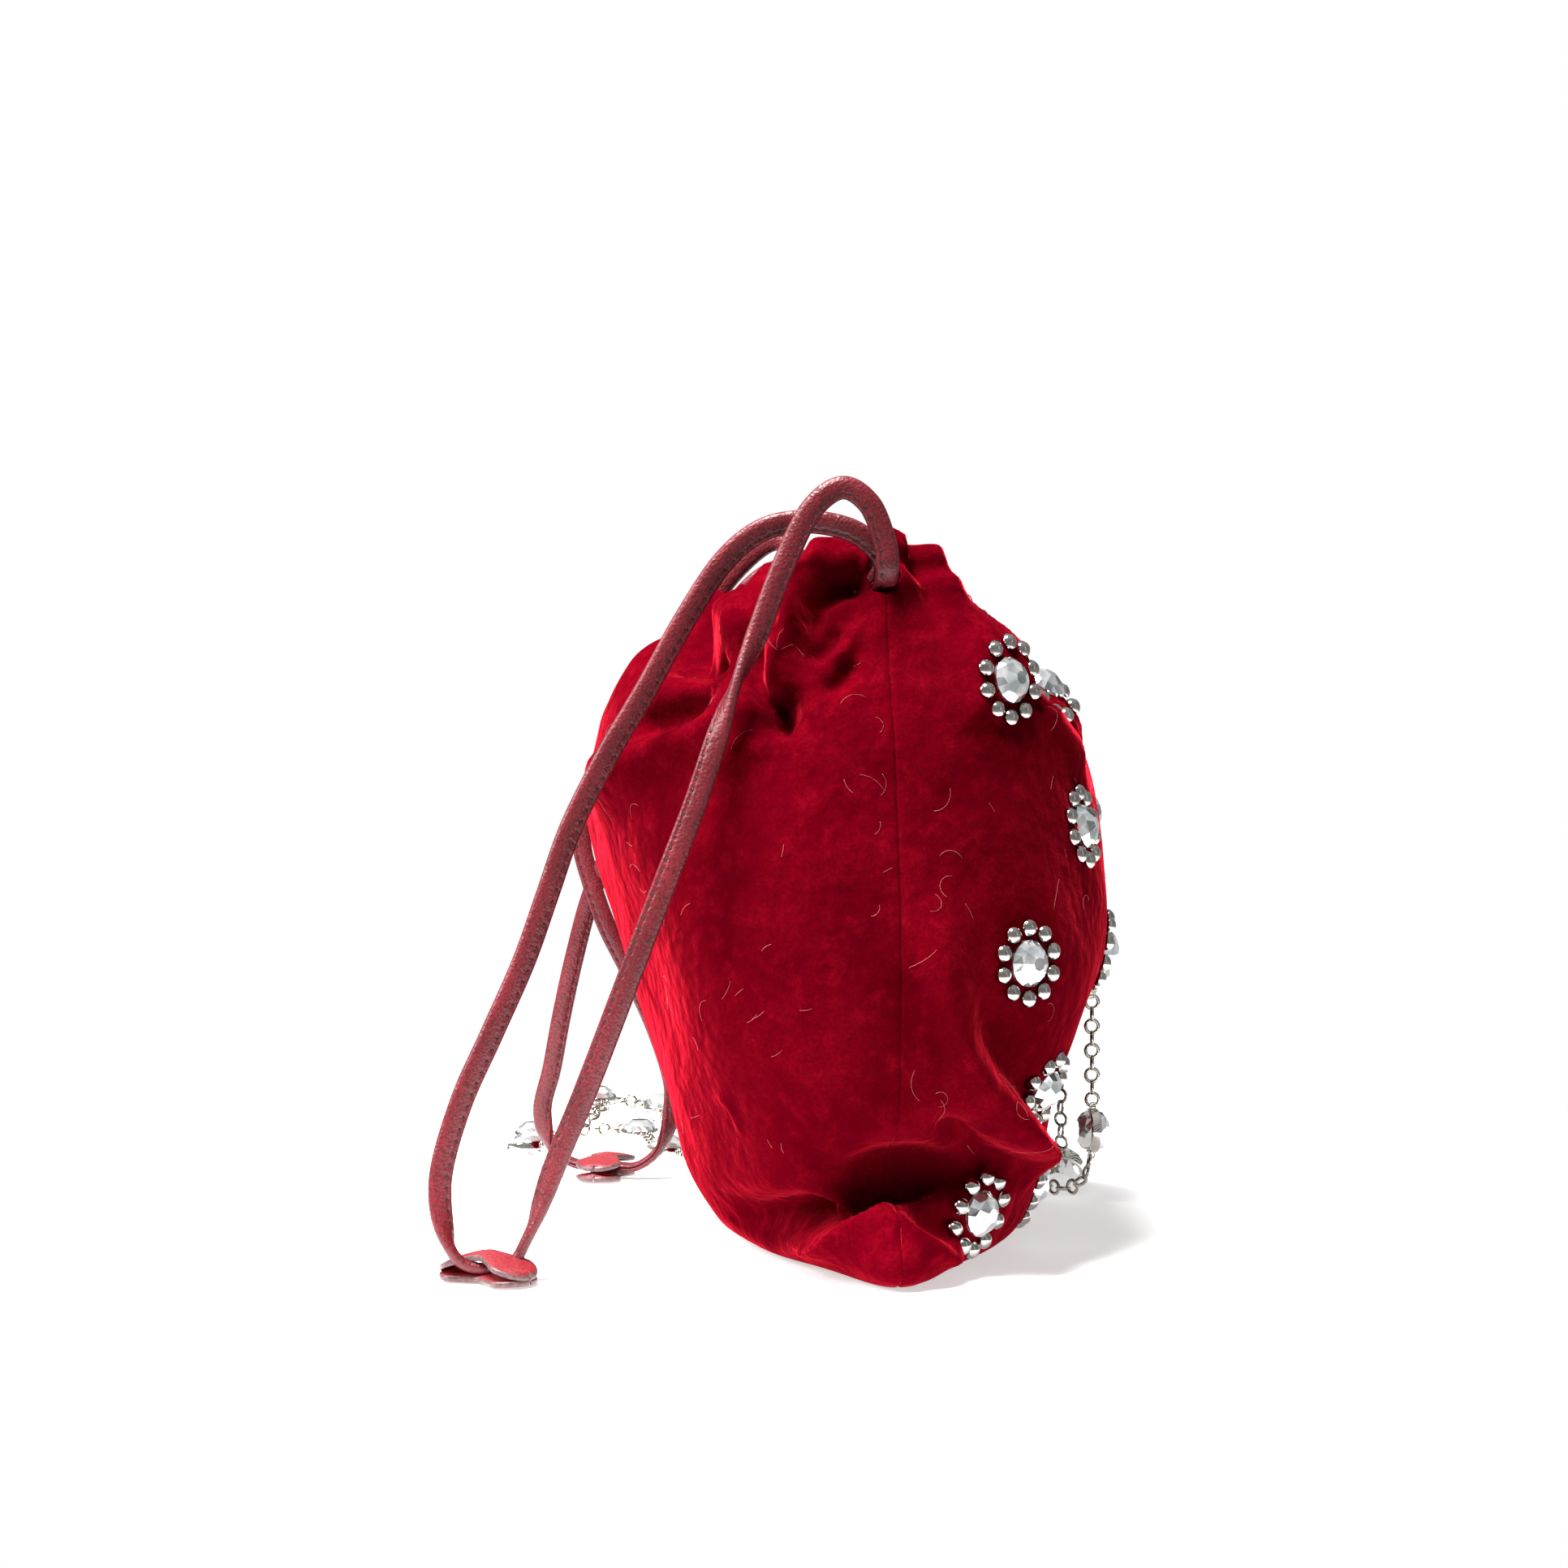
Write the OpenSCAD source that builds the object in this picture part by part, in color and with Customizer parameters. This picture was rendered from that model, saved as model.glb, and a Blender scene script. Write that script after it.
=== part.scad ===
// Velvet drawstring pouch with jewelled front, leather drawstrings and a crystal chain strap.
// Frame: millimetres, +X along the width, front face towards -Y, +Z up, origin at the base's middle.

/* [Bag] */
// Height of the two side corners of the mouth
bag_h = 190; // [186:1:194]
// How far the rim sags below the corners in the middle of the front and back
rim_sag = 18; // [14:1:20]
// Half of the width at the fullest height
half_w = 100; // [98:1:102]
// Horizontal thickness of the velvet wall
velvet_t = 1.8; // [1.4:0.1:2]
// Horizontal thickness of the lining wall
lining_t = 1; // [0.8:0.1:1.2]
// Thickness of the flat velvet base
base_t = 1.6; // [1.4:0.1:2]
// Thickness of the stiffening board inside the base
board_t = 2; // [1.5:0.1:2.5]

/* [Mouth] */
// Pleats gathered round the mouth
pleats = 16; // [12:2:20]
// How far a pleat stands out at the rim
pleat_out = 3; // [2:0.5:4]
// Half of the slit that each drawstring comes out of
slit_half = 4.5; // [3.5:0.5:5.5]

/* [Drawstrings] */
// Width of the folded leather strap
strap_w = 6; // [5:0.5:6.5]
// Thickness of the folded leather strap
strap_t = 3; // [2.5:0.1:3.2]
// Radius of the strap where the channel squeezes it
held_r = 1.5; // [1.3:0.1:1.6]
// Thickness of one leather leaf of a tab
leaf_t = 1.5; // [1.2:0.1:1.5]
// Half of a leaf's length
leaf_half = 14; // [12:0.5:15]
// Radius of a leaf's rounded ends
end_r = 7.5; // [7:0.1:8]
// Half of a leaf's width at its waist, where the strap crosses
waist = 4; // [3.5:0.1:4.5]

/* [Flowers] */
// Radius of the round crystal in the middle of a flower
crystal_r = 6; // [5.5:0.1:6.2]
// Height of that crystal above the velvet
crystal_h = 4.2; // [3:0.1:5]
// Radius of one domed stud
stud_r = 2.35; // [2:0.05:2.4]
// Studs round one flower
studs = 10; // [8:1:10]
// Radius of the ring of studs
ring_r = 8.9; // [8.8:0.1:9.5]

/* [Chain strap] */
// Outer diameter of the chain
chain_d = 5; // [4:0.5:5]
// Outer radius of a crystal's metal band
bezel_r = 6.5; // [6:0.1:6.5]
// Width of that band
bezel_w = 3; // [2:0.1:4]
// Thickness of the double-sided crystal
gem_t = 9.4; // [8:0.2:9.6]
// Distance from one crystal to the next along the chain
gem_pitch = 47; // [44:1:50]

/* [Hidden] */
pieces = 64;
squareness = 0.87;
slit_z = 180;
slit_h = 9;
lining_gap = 0.8;
casing_t = 0.8;
board_gap = 0.4;
upper_z = leaf_t + strap_t + 1.1;
// Half width, and depth to the front and to the back, at each part of the height
width_steps = [[0, 76], [0.06, 88], [0.14, 92], [0.3, 99], [0.42, 100], [0.55, 98], [0.7, 91],
    [0.82, 82], [0.9, 75], [1, 68]];
front_steps = [[0, 37], [0.03, 42], [0.12, 50], [0.22, 54], [0.34, 61], [0.46, 68], [0.55, 69],
    [0.7, 65], [0.82, 56], [0.9, 46], [1, 32]];
back_steps = [[0, 32], [0.03, 36], [0.12, 45], [0.22, 50], [0.34, 56], [0.5, 64], [0.62, 69],
    [0.7, 69], [0.8, 63], [0.9, 51], [1, 34]];
ring_steps = [0.03, 0.06, 0.1, 0.14, 0.18, 0.24, 0.32, 0.42, 0.52, 0.62, 0.7, 0.77, 0.83, 0.88,
    0.905, 0.93, 0.95, 0.97, 1];

// Flowers: a diamond lattice of rows, each [height, angles from the near seam]
wide_row = [27, 71, 109, 153];
narrow_row = [50, 90, 130];
flower_rows = [[20, wide_row], [45, narrow_row], [79, wide_row], [113, narrow_row], [147, wide_row]];

// Route of the near drawstring loop, out of the slit, through its tab and back
near_route = [[-78, 0, 178], [-79, 1, 187], [-80, 5, 196], [-80, 12, 200], [-80, 20, 194],
    [-81, 27, 180], [-82, 34, 162], [-85, 41, 146], [-86, 49, 122], [-86, 57, 101], [-84, 66, 77],
    [-80, 76, 50], [-77, 84, 30], [-75, 91, 11], [-75, 96, 4], [-75, 106, 4], [-75, 111, 10],
    [-73, 113, 25], [-72, 108, 44], [-71, 100, 62], [-70, 92, 80], [-70, 86, 97], [-70, 80, 114],
    [-70, 71, 132], [-70, 61, 149], [-70, 51, 167], [-70, 41, 182], [-71, 31, 190], [-72, 20, 192],
    [-73, 9, 190], [-74, 1, 184]];
// Route of the far drawstring loop
far_route = [[78, 0, 178], [79, 1, 187], [80, 5, 196], [82, 12, 200], [86, 24, 190], [91, 38, 170],
    [96, 54, 146], [100, 66, 124], [101, 70, 108], [101, 67, 94], [101, 62, 80], [102, 54, 64],
    [103, 46, 46], [104, 41, 28], [105, 44, 12], [107, 52, 4], [111, 62, 4], [114, 71, 4],
    [116, 79, 9], [115, 82, 21], [112, 79, 35], [109, 76, 52], [106, 72, 71], [103, 67, 90],
    [98, 60, 107], [91, 53, 125], [84, 43, 147], [79, 32, 168], [76, 21, 184], [75, 11, 191],
    [74, 3, 190], [74, 0, 184]];
// Route of the chain strap, from the near clasp to the far one
chain_route = [[-46, 0, 171.5], [-39, -3, 178], [-26, -9, 182], [-10, -18, 182], [6, -27, 181],
    [17, -37, 178], [24, -47, 168], [27, -56, 155], [28, -64, 143], [29, -71, 129], [29, -75, 114],
    [29, -77, 96], [29, -77, 70], [29, -77, 42], [29, -77, 20], [31, -75, 9], [36, -71, 5],
    [43, -66, 5], [54, -61, 5], [70, -57, 5], [90, -50, 5], [107, -36, 5], [117, -14, 5],
    [120, 10, 5], [126, 30, 5], [140, 42, 5], [160, 44, 5], [182, 46, 5], [195, 60, 5],
    [188, 78, 5], [168, 88, 5], [146, 90, 5], [131, 80, 9], [136, 67, 15], [151, 61, 19],
    [168, 66, 19], [180, 56, 17], [174, 41, 15], [157, 29, 10], [144, 14, 5], [139, -10, 5],
    [132, -36, 5], [117, -56, 5], [96, -69, 5], [74, -74, 5], [58, -74, 6], [48, -72, 14],
    [45, -71, 30], [45, -71, 60], [45, -71, 92], [45, -69, 116], [46, -64, 132], [47, -57, 146],
    [48, -48, 162], [47, -38, 179], [45, -26, 188], [40, -14, 190], [38, -3, 183],
    [46, 0, 171.5]];

// Hardware that the chain hooks on to, along a line that leans in from the side of the mouth
ring_wire = 0.9;
ring_half = 6.5;
ring_leg = 3;
loop_w = 8;
loop_r = 2.6;
loop_h = 12;
hook_r = 4.5;
hook_at = ring_leg + ring_half + hook_r - 2 * ring_wire - 0.2;
gate_x = hook_r * cos(30);
gate_z = 2.5;
pin_r = 0.3;
stem_r = 1.7;
stem_h = 5;
head_z = hook_r + 1.1;
head_h = 1.4;
head_r = 1.1;
neck_r = 0.6;
eye_r = 2.3;
eye_z = hook_r + stem_h + eye_r + 1.2;
chain_gap = 0.5;
clasp_lean = 40;
clasp_dir = [sin(clasp_lean), 0, cos(clasp_lean)];
clasp_end = hook_at + eye_z + eye_r + 0.8 + chain_gap;
d_bar = chain_route[0] - clasp_end * clasp_dir;
// Distance of the first crystal from the near end of the chain
first_gem = 11;

// ---------- Surface of the bag ----------
function soft_pow(x) = sign(x) * pow(abs(x), squareness);
function bump(x, mid, spread) = exp(-pow((x - mid) / spread, 2));
function rise(x, low, high) = min(1, max(0, (x - low) / (high - low)));
function rim_z(phi) = bag_h - rim_sag * pow(sin(phi), 2);
function ear(phi, t) = 24 * bump(t, 0, 0.07) * pow(abs(cos(phi)), 16)
    - 8 * bump(t, 0.15, 0.04) * pow(abs(cos(phi)), 8);
function pleat(phi, t) = pleat_out * rise(t, 0.84, 0.95) * (0.5 - 0.5 * cos(pleats * phi));
function depth(phi, t) = lookup(t, sin(phi) < 0 ? front_steps : back_steps);
// Point at angle phi and height part t, moved d inwards. The seams run at 0 and 180.
function skin(phi, t, d = 0) = let(out = pleat(phi, t) - d) [
    soft_pow(cos(phi)) * (lookup(t, width_steps) * half_w / 100 + out)
        + sign(cos(phi)) * ear(phi, t),
    soft_pow(sin(phi)) * (depth(phi, t) + out),
    base_t + t * (rim_z(phi) - base_t)];
function outward(phi, t) = let(v = cross(skin(phi + 2, t) - skin(phi - 2, t),
    skin(phi, t + 0.02) - skin(phi, t - 0.02))) v / norm(v);

// ---------- Solids made from grids of points ----------
// A grid of rows by cols points for each side of a wall, closed all round its edge
module wall(outer, inner) {
    rows = len(outer);
    cols = len(outer[0]);
    n = rows * cols;
    points = [for (g = [outer, inner], row = g, p = row) p];
    faces = concat(
        [for (i = [0:rows - 2], j = [0:cols - 2], h = [0, 1]) let(a = i * cols + j)
            h == 0 ? [a, a + cols, a + cols + 1] : [a, a + cols + 1, a + 1]],
        [for (i = [0:rows - 2], j = [0:cols - 2], h = [0, 1]) let(a = n + i * cols + j)
            h == 0 ? [a, a + cols + 1, a + cols] : [a, a + 1, a + cols + 1]],
        [for (j = [0:cols - 2], h = [0, 1]) h == 0 ? [j, j + 1, n + j + 1] : [j, n + j + 1, n + j]],
        [for (j = [0:cols - 2], h = [0, 1]) let(a = (rows - 1) * cols + j)
            h == 0 ? [a + 1, a, n + a] : [a + 1, n + a, n + a + 1]],
        [for (i = [0:rows - 2], h = [0, 1]) let(a = i * cols)
            h == 0 ? [a + cols, a, n + a] : [a + cols, n + a, n + a + cols]],
        [for (i = [0:rows - 2], h = [0, 1]) let(a = i * cols + cols - 1)
            h == 0 ? [a, a + cols, n + a + cols] : [a, n + a + cols, n + a]]);
    polyhedron(points, faces);
}

// Rings of equal length joined into a tube with flat ends
module skinned(rings) {
    k = len(rings[0]);
    last = (len(rings) - 1) * k;
    points = [for (ring = rings, p = ring) p];
    faces = concat([[for (j = [0:k - 1]) j]],
        [[for (j = [k - 1:-1:0]) last + j]],
        [for (i = [0:len(rings) - 2], j = [0:k - 1], h = [0, 1])
            let(a = i * k + j, b = i * k + (j + 1) % k)
            h == 0 ? [a, a + k, b] : [b, a + k, b + k]]);
    polyhedron(points, faces);
}

// ---------- Routes ----------
function curve_at(p, i, u) = let(last = len(p) - 1, a = p[max(0, i - 1)], b = p[i],
    c = p[min(last, i + 1)], d = p[min(last, i + 2)])
    0.5 * (2 * b + (c - a) * u + (2 * a - 5 * b + 4 * c - d) * u * u
    + (3 * b - a - 3 * c + d) * u * u * u);
function smooth(p, cuts = 6) = [for (i = [0:len(p) - 2], k = [0:cuts - 1]) curve_at(p, i, k / cuts),
    p[len(p) - 1]];
function lengths(q) = [for (i = 0, s = 0; i < len(q); s = s + (i + 1 < len(q) ?
    norm(q[i + 1] - q[i]) : 0), i = i + 1) s];
function total(v) = v[len(v) - 1];
function point_at(q, s, dist) = [for (axis = [0:2])
    lookup(dist, [for (i = [0:len(q) - 1]) [s[i], q[i][axis]]])];
function unit(v) = v / norm(v);
function along(q, s, dist) = unit(point_at(q, s, min(total(s), dist + 1.5))
    - point_at(q, s, max(0, dist - 1.5)));

// A strap or cord along q: half sizes w across and h through, with its face turned to look(p)
function cord_ring(p, dir, face, w, h, sides) = let(side = unit(cross(dir, face)),
    up = cross(side, dir)) [for (j = [0:sides - 1]) let(a = 360 * (j + 0.5) / sides)
    p + side * w * cos(a) / cos(180 / sides) + up * h * sin(a) / cos(180 / sides)];

function loop_face(p) = unit([sign(p[0]) * rise(p[2], 8, 45), 0, 1.02 - rise(p[2], 8, 45)]);
// A ring of eight corners at each point of a route, inside the cord's true half sizes
function heading(q, i) = unit(q[min(len(q) - 1, i + 1)] - q[max(0, i - 1)]);
flat = cos(180 / 8);
module loop_tube(route) {
    skinned([for (i = [0:len(route) - 1]) cord_ring(route[i], heading(route, i),
        loop_face(route[i]), strap_w / 2 * flat, strap_t / 2 * flat, 8)]);
}

// ---------- Bag ----------
// Angle inside one panel: the ends draw back from the seam at the drawstring's slit
function panel_phi(u, start, t) = let(z = t * bag_h, open = rise(slit_h - abs(z - slit_z), 0, 4),
    cut = 7 * slit_half / 4.5 * open) start + cut + u * (180 - 2 * cut);
function panel_grid(start, steps, cols, d) = [for (t = steps) [for (j = [0:cols])
    skin(panel_phi(j / cols, start, t), t, d)]];
module panel(start) {
    wall(panel_grid(start, concat([0], ring_steps), pieces / 2, 0),
        panel_grid(start, concat([0], ring_steps), pieces / 2, velvet_t));
}
module velvet_front() { color("crimson") panel(180); }
module velvet_back() { color("crimson") panel(0); }
module footprint(inset, height) {
    linear_extrude(height) polygon([for (j = [0:pieces - 1])
        let(p = skin(360 * j / pieces, 0, inset)) [p[0], p[1]]]);
}
module velvet_base() { color("firebrick") footprint(0, base_t); }
board_in = velvet_t + lining_gap + lining_t + 2;
module base_board() {
    color("dimgray") translate([0, 0, base_t + lining_gap + lining_t + board_gap])
        footprint(board_in, board_t);
}

// The lining: a front and a back panel on a floor, inside the velvet and below the drawstring channel
lining_steps = [0.012, 0.03, 0.06, 0.1, 0.14, 0.18, 0.24, 0.32, 0.42, 0.52, 0.62, 0.7, 0.77, 0.83,
    0.875];
lining_in = velvet_t + lining_gap;
module lining_panel(start) {
    step = 360 / pieces;
    function grid(d) = [for (t = lining_steps) [for (j = [0:pieces / 2])
        skin(start + j * step, t, d + pleat(start + j * step, t))]];
    color("darkred") wall(grid(lining_in), grid(lining_in + lining_t));
}
module lining_front() { lining_panel(180); }
module lining_back() { lining_panel(0); }
module lining_base() {
    color("darkred") translate([0, 0, base_t + lining_gap]) footprint(lining_in + 0.5, lining_t);
}

// The drawstring channel: a band behind the rim, in a front and a back piece
stub_x = 70.6;
held_in = velvet_t + held_r + 1;
channel_in = held_in + held_r + 1;
casing_steps = [0.893, 0.93, 0.965, 0.99];
module casing(start) {
    end_gap = 14;
    grid_angle = 180 - 2 * end_gap;
    function band(d) = [for (t = casing_steps) [for (j = [0:24])
        skin(start + end_gap + j * grid_angle / 24, t, d + pleat(start + end_gap
            + j * grid_angle / 24, t))]];
    color("maroon") wall(band(channel_in), band(channel_in + casing_t));
}
module casing_front() { casing(180); }
module casing_back() { casing(0); }

// A drawstring inside the channel, all round the mouth from its own slit, at height part t
function held_route(start, t) = let(side = cos(start), turn = 16, step = (360 - 2 * turn) / 40)
    concat([[side * stub_x, 0, slit_z - 2.6]],
    [for (j = [0:40]) let(phi = start + turn + j * step) skin(phi, t, held_in + pleat(phi, t))],
    [[side * stub_x, 0, slit_z + 2.6]]);
module held(start, t) {
    q = held_route(start, t);
    skinned([for (i = [0:len(q) - 1])
        cord_ring(q[i], heading(q, i), [0, 0, 1], held_r * flat, held_r * flat, 8)]);
}
module near_held_drawstring() { color("rosybrown") held(180, 0.915); }
module far_held_drawstring() { color("rosybrown") held(0, 0.96); }
module near_loop() { color("indianred") loop_tube(near_route); }
module far_loop() { color("indianred") loop_tube(far_route); }

// A tab: two waisted leather leaves, one under and one over the strap
module leaf() {
    difference() {
        union() {
            for (s = [-1, 1]) translate([s * (leaf_half - end_r), 0, 0])
                cylinder(h = leaf_t, r = end_r, $fn = 64);
            translate([end_r - leaf_half, -end_r, 0])
                cube([2 * (leaf_half - end_r), 2 * end_r, leaf_t]);
        }
        for (s = [-1, 1]) translate([0, s * (waist + end_r * 0.8), -1])
            cylinder(h = leaf_t + 2, r = end_r * 0.8, $fn = 64);
    }
}
module near_tab_place() { translate([-75, 101, 0]) children(); }
module far_tab_place() { translate([111, 62, 0]) rotate(-20) children(); }
module near_tab_lower() { color("indianred") near_tab_place() leaf(); }
module near_tab_upper() { color("indianred") near_tab_place() translate([0, 0, upper_z]) leaf(); }
module far_tab_lower() { color("indianred") far_tab_place() leaf(); }
module far_tab_upper() { color("indianred") far_tab_place() translate([0, 0, upper_z]) leaf(); }

// ---------- Chain hardware, made for the near side and mirrored for the far one ----------
module far_side() { mirror([1, 0, 0]) children(); }
// Places its children with Z along the clasp, at a distance from the bar of the D-ring
module along_clasp(dist) {
    translate(d_bar + dist * clasp_dir) rotate([0, clasp_lean, 0]) children();
}
module rod(a, b, r) {
    translate(a) rotate([0, acos((b - a)[2] / norm(b - a)), atan2((b - a)[1], (b - a)[0])])
        cylinder(h = norm(b - a), r = r, $fn = 32);
}
module ring_loop() {
    color("indianred") difference() {
        union() {
            translate(d_bar) rotate([90, 0, 0])
                cylinder(h = loop_w, r = loop_r, center = true, $fn = 48);
            translate(d_bar + [-loop_r, -loop_w / 2, 0]) cube([leaf_t, loop_w, loop_h]);
        }
        translate(d_bar) rotate([90, 0, 0])
            cylinder(h = loop_w + 2, r = ring_wire + 0.25, center = true, $fn = 48);
    }
}
module d_ring() {
    color("silver") along_clasp(0) {
        rod([0, -ring_half, 0], [0, ring_half, 0], ring_wire);
        for (s = [-1, 1]) {
            translate([0, s * ring_half, 0]) sphere(r = ring_wire, $fn = 32);
            rod([0, s * ring_half, 0], [0, s * ring_half, ring_leg], ring_wire);
        }
        translate([0, 0, ring_leg]) rotate([90, 0, 90]) rotate_extrude(angle = 180, $fn = 96)
            translate([ring_half, 0]) circle(r = ring_wire, $fn = 24);
    }
}
// The hook is a ring with a gap, which the gate closes; the swivel turns in its stem
module clasp() {
    gap = 30;
    color("silver") along_clasp(hook_at) {
        difference() {
            union() {
                rotate([90, 0, 0]) rotate([0, 0, gap]) rotate_extrude(angle = 360 - 2 * gap, $fn = 96)
                    translate([hook_r, 0]) circle(r = ring_wire, $fn = 24);
                translate([0, 0, hook_r]) cylinder(h = stem_h, r = stem_r, $fn = 48);
                for (s = [-1, 1]) translate([gate_x - 0.8, s * 0.95 - 0.25, gate_z - 0.7])
                    cube([1.6, 0.5, 1.9]);
                translate([gate_x, 0, gate_z]) rotate([90, 0, 0])
                    cylinder(h = 2.2, r = pin_r, center = true, $fn = 32);
            }
            translate([0, 0, head_z]) cylinder(h = head_h, r = head_r, $fn = 48);
            translate([0, 0, head_z]) cylinder(h = stem_h, r = neck_r + 0.05, $fn = 48);
            translate([gate_x, 0, gate_z]) rotate([90, 0, 0]) difference() {
                cylinder(h = 1.3, r = 0.95, center = true, $fn = 32);
                cylinder(h = 1.4, r = pin_r, center = true, $fn = 32);
            }
        }
    }
}
module gate() {
    color("silver") along_clasp(hook_at) difference() {
        union() {
            translate([gate_x, 0, gate_z]) rotate([90, 0, 0])
                cylinder(h = 1.1, r = 0.8, center = true, $fn = 32);
            translate([gate_x, 0, -gate_z + 0.9]) cylinder(h = 2 * gate_z - 1, r = 0.5, $fn = 32);
        }
        translate([gate_x, 0, gate_z]) rotate([90, 0, 0])
            cylinder(h = 2, r = pin_r + 0.05, center = true, $fn = 32);
    }
}
module swivel() {
    color("silver") along_clasp(hook_at) {
        translate([0, 0, head_z + 0.1]) cylinder(h = head_h - 0.2, r = head_r - 0.1, $fn = 48);
        translate([0, 0, head_z + 0.1]) cylinder(h = eye_z - eye_r - head_z, r = neck_r, $fn = 48);
        translate([0, 0, eye_z]) rotate([90, 0, 0]) rotate_extrude($fn = 96)
            translate([eye_r, 0]) circle(r = 0.8, $fn = 24);
    }
}
module near_ring_loop() { ring_loop(); }
module far_ring_loop() { far_side() ring_loop(); }
module near_d_ring() { d_ring(); }
module far_d_ring() { far_side() d_ring(); }
module near_clasp() { clasp(); }
module far_clasp() { far_side() clasp(); }
module near_gate() { gate(); }
module far_gate() { far_side() gate(); }
module near_swivel() { swivel(); }
module far_swivel() { far_side() swivel(); }

// ---------- Chain ----------
chain_curve = smooth(chain_route);
chain_s = lengths(chain_curve);
chain_len = total(chain_s);
gem_count = floor((chain_len - 2 * first_gem) / gem_pitch) + 1;
module chain_links() {
    r = chain_d / 2 * flat;
    color("silver") skinned([for (i = [0:len(chain_route) - 1])
        cord_ring(chain_route[i], heading(chain_route, i), chain_face(chain_route[i]), r, r, 8)]);
}
// Hanging crystals face away from the bag, and those on the floor lie flat
function chain_face(p) = unit([0.02, -rise(p[2], 22, 50), 1.02 - rise(p[2], 22, 50)]);
module at_gem(k) {
    d = first_gem + k * gem_pitch;
    p = point_at(chain_curve, chain_s, d);
    dir = along(chain_curve, chain_s, d);
    side = unit(cross(dir, chain_face(p)));
    n = cross(side, dir);
    translate(p) rotate([0, acos(n[2]), atan2(n[1], n[0])]) children();
}
module chain_bezels() {
    color("silver") for (k = [0:gem_count - 1]) at_gem(k) difference() {
        cylinder(h = bezel_w, r = bezel_r, center = true, $fn = 48);
        cylinder(h = bezel_w + 1, r = bezel_r - 0.7, center = true, $fn = 48);
    }
}
module chain_crystals() {
    r = bezel_r - 0.75;
    color("white") for (k = [0:gem_count - 1]) at_gem(k) rotate_extrude($fn = 48)
        polygon([[0, -gem_t / 2], [r * 0.5, -gem_t / 2], [r, -bezel_w * 0.4], [r, bezel_w * 0.4],
            [r * 0.5, gem_t / 2], [0, gem_t / 2]]);
}

// ---------- Jewelled flowers on the front ----------
function flower_phi(r, c) = 180 + flower_rows[r - 1][1][c - 1];
function flower_t(r, c) = (flower_rows[r - 1][0] - base_t) / (rim_z(flower_phi(r, c)) - base_t);
module on_front(phi, t, lift) {
    n = outward(phi, t);
    translate(skin(phi, t) + n * lift) rotate([0, acos(n[2]), atan2(n[1], n[0])]) children();
}
module flower_crystal(r, c) {
    color("lightgray") on_front(flower_phi(r, c), flower_t(r, c), -0.4) rotate_extrude($fn = 48)
        polygon([[0, 0], [crystal_r * 0.9, 0], [crystal_r, 1], [crystal_r * 0.6, crystal_h],
            [0, crystal_h]]);
}
module studs_row(r) {
    color("gray") for (c = [1:len(flower_rows[r - 1][1])]) {
        phi = flower_phi(r, c);
        t = flower_t(r, c);
        per_degree = norm(skin(phi + 2, t) - skin(phi - 2, t)) / 4;
        per_height = norm(skin(phi, t + 0.02) - skin(phi, t - 0.02)) / 0.04;
        for (k = [0:studs - 1]) let(a = 360 * (k + 0.5) / studs)
            on_front(phi + ring_r * cos(a) / per_degree, t + ring_r * sin(a) / per_height, -0.4)
                rotate_extrude($fn = 32) polygon([[0, 0], [stud_r, 0], [stud_r, 0.9],
                    [stud_r * 0.8, 1.8], [stud_r * 0.4, 2.4], [0, 2.5]]);
    }
}

velvet_front();
velvet_back();
velvet_base();
base_board();
lining_front();
lining_back();
lining_base();
casing_front();
casing_back();
near_held_drawstring();
far_held_drawstring();
near_loop();
far_loop();
near_tab_lower();
near_tab_upper();
far_tab_lower();
far_tab_upper();
near_ring_loop();
far_ring_loop();
near_d_ring();
far_d_ring();
near_clasp();
far_clasp();
near_gate();
far_gate();
near_swivel();
far_swivel();
chain_links();
chain_bezels();
chain_crystals();
for (r = [1:len(flower_rows)])
    studs_row(r);
for (r = [1:len(flower_rows)], c = [1:len(flower_rows[r - 1][1])])
    flower_crystal(r, c);
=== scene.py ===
"""Looks of a red velvet drawstring pouch with crystal flowers, leather drawstrings and a chain strap.

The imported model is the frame: metres, +X along the width, jewelled front towards -Y, +Z up.
"""

import math

import bmesh
import bpy
import numpy as np
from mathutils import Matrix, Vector


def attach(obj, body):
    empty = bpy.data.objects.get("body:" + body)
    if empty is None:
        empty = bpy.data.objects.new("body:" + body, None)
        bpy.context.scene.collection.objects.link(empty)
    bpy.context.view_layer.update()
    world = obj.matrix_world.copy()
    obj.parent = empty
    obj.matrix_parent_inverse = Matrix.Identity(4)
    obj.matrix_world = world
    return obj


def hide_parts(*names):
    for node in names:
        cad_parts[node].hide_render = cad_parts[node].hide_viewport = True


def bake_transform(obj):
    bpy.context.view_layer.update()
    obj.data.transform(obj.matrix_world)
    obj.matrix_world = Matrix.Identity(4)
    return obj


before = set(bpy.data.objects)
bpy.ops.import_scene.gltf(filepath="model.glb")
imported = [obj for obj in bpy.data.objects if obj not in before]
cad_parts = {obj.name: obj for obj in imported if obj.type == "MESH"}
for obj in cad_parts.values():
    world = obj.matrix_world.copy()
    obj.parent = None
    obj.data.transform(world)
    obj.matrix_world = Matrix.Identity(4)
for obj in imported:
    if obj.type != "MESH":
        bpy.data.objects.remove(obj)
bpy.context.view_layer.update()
MM = 0.001

# ---------- Sizes in metres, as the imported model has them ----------
BAG_H = 0.190
RIM_SAG = 0.018
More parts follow.
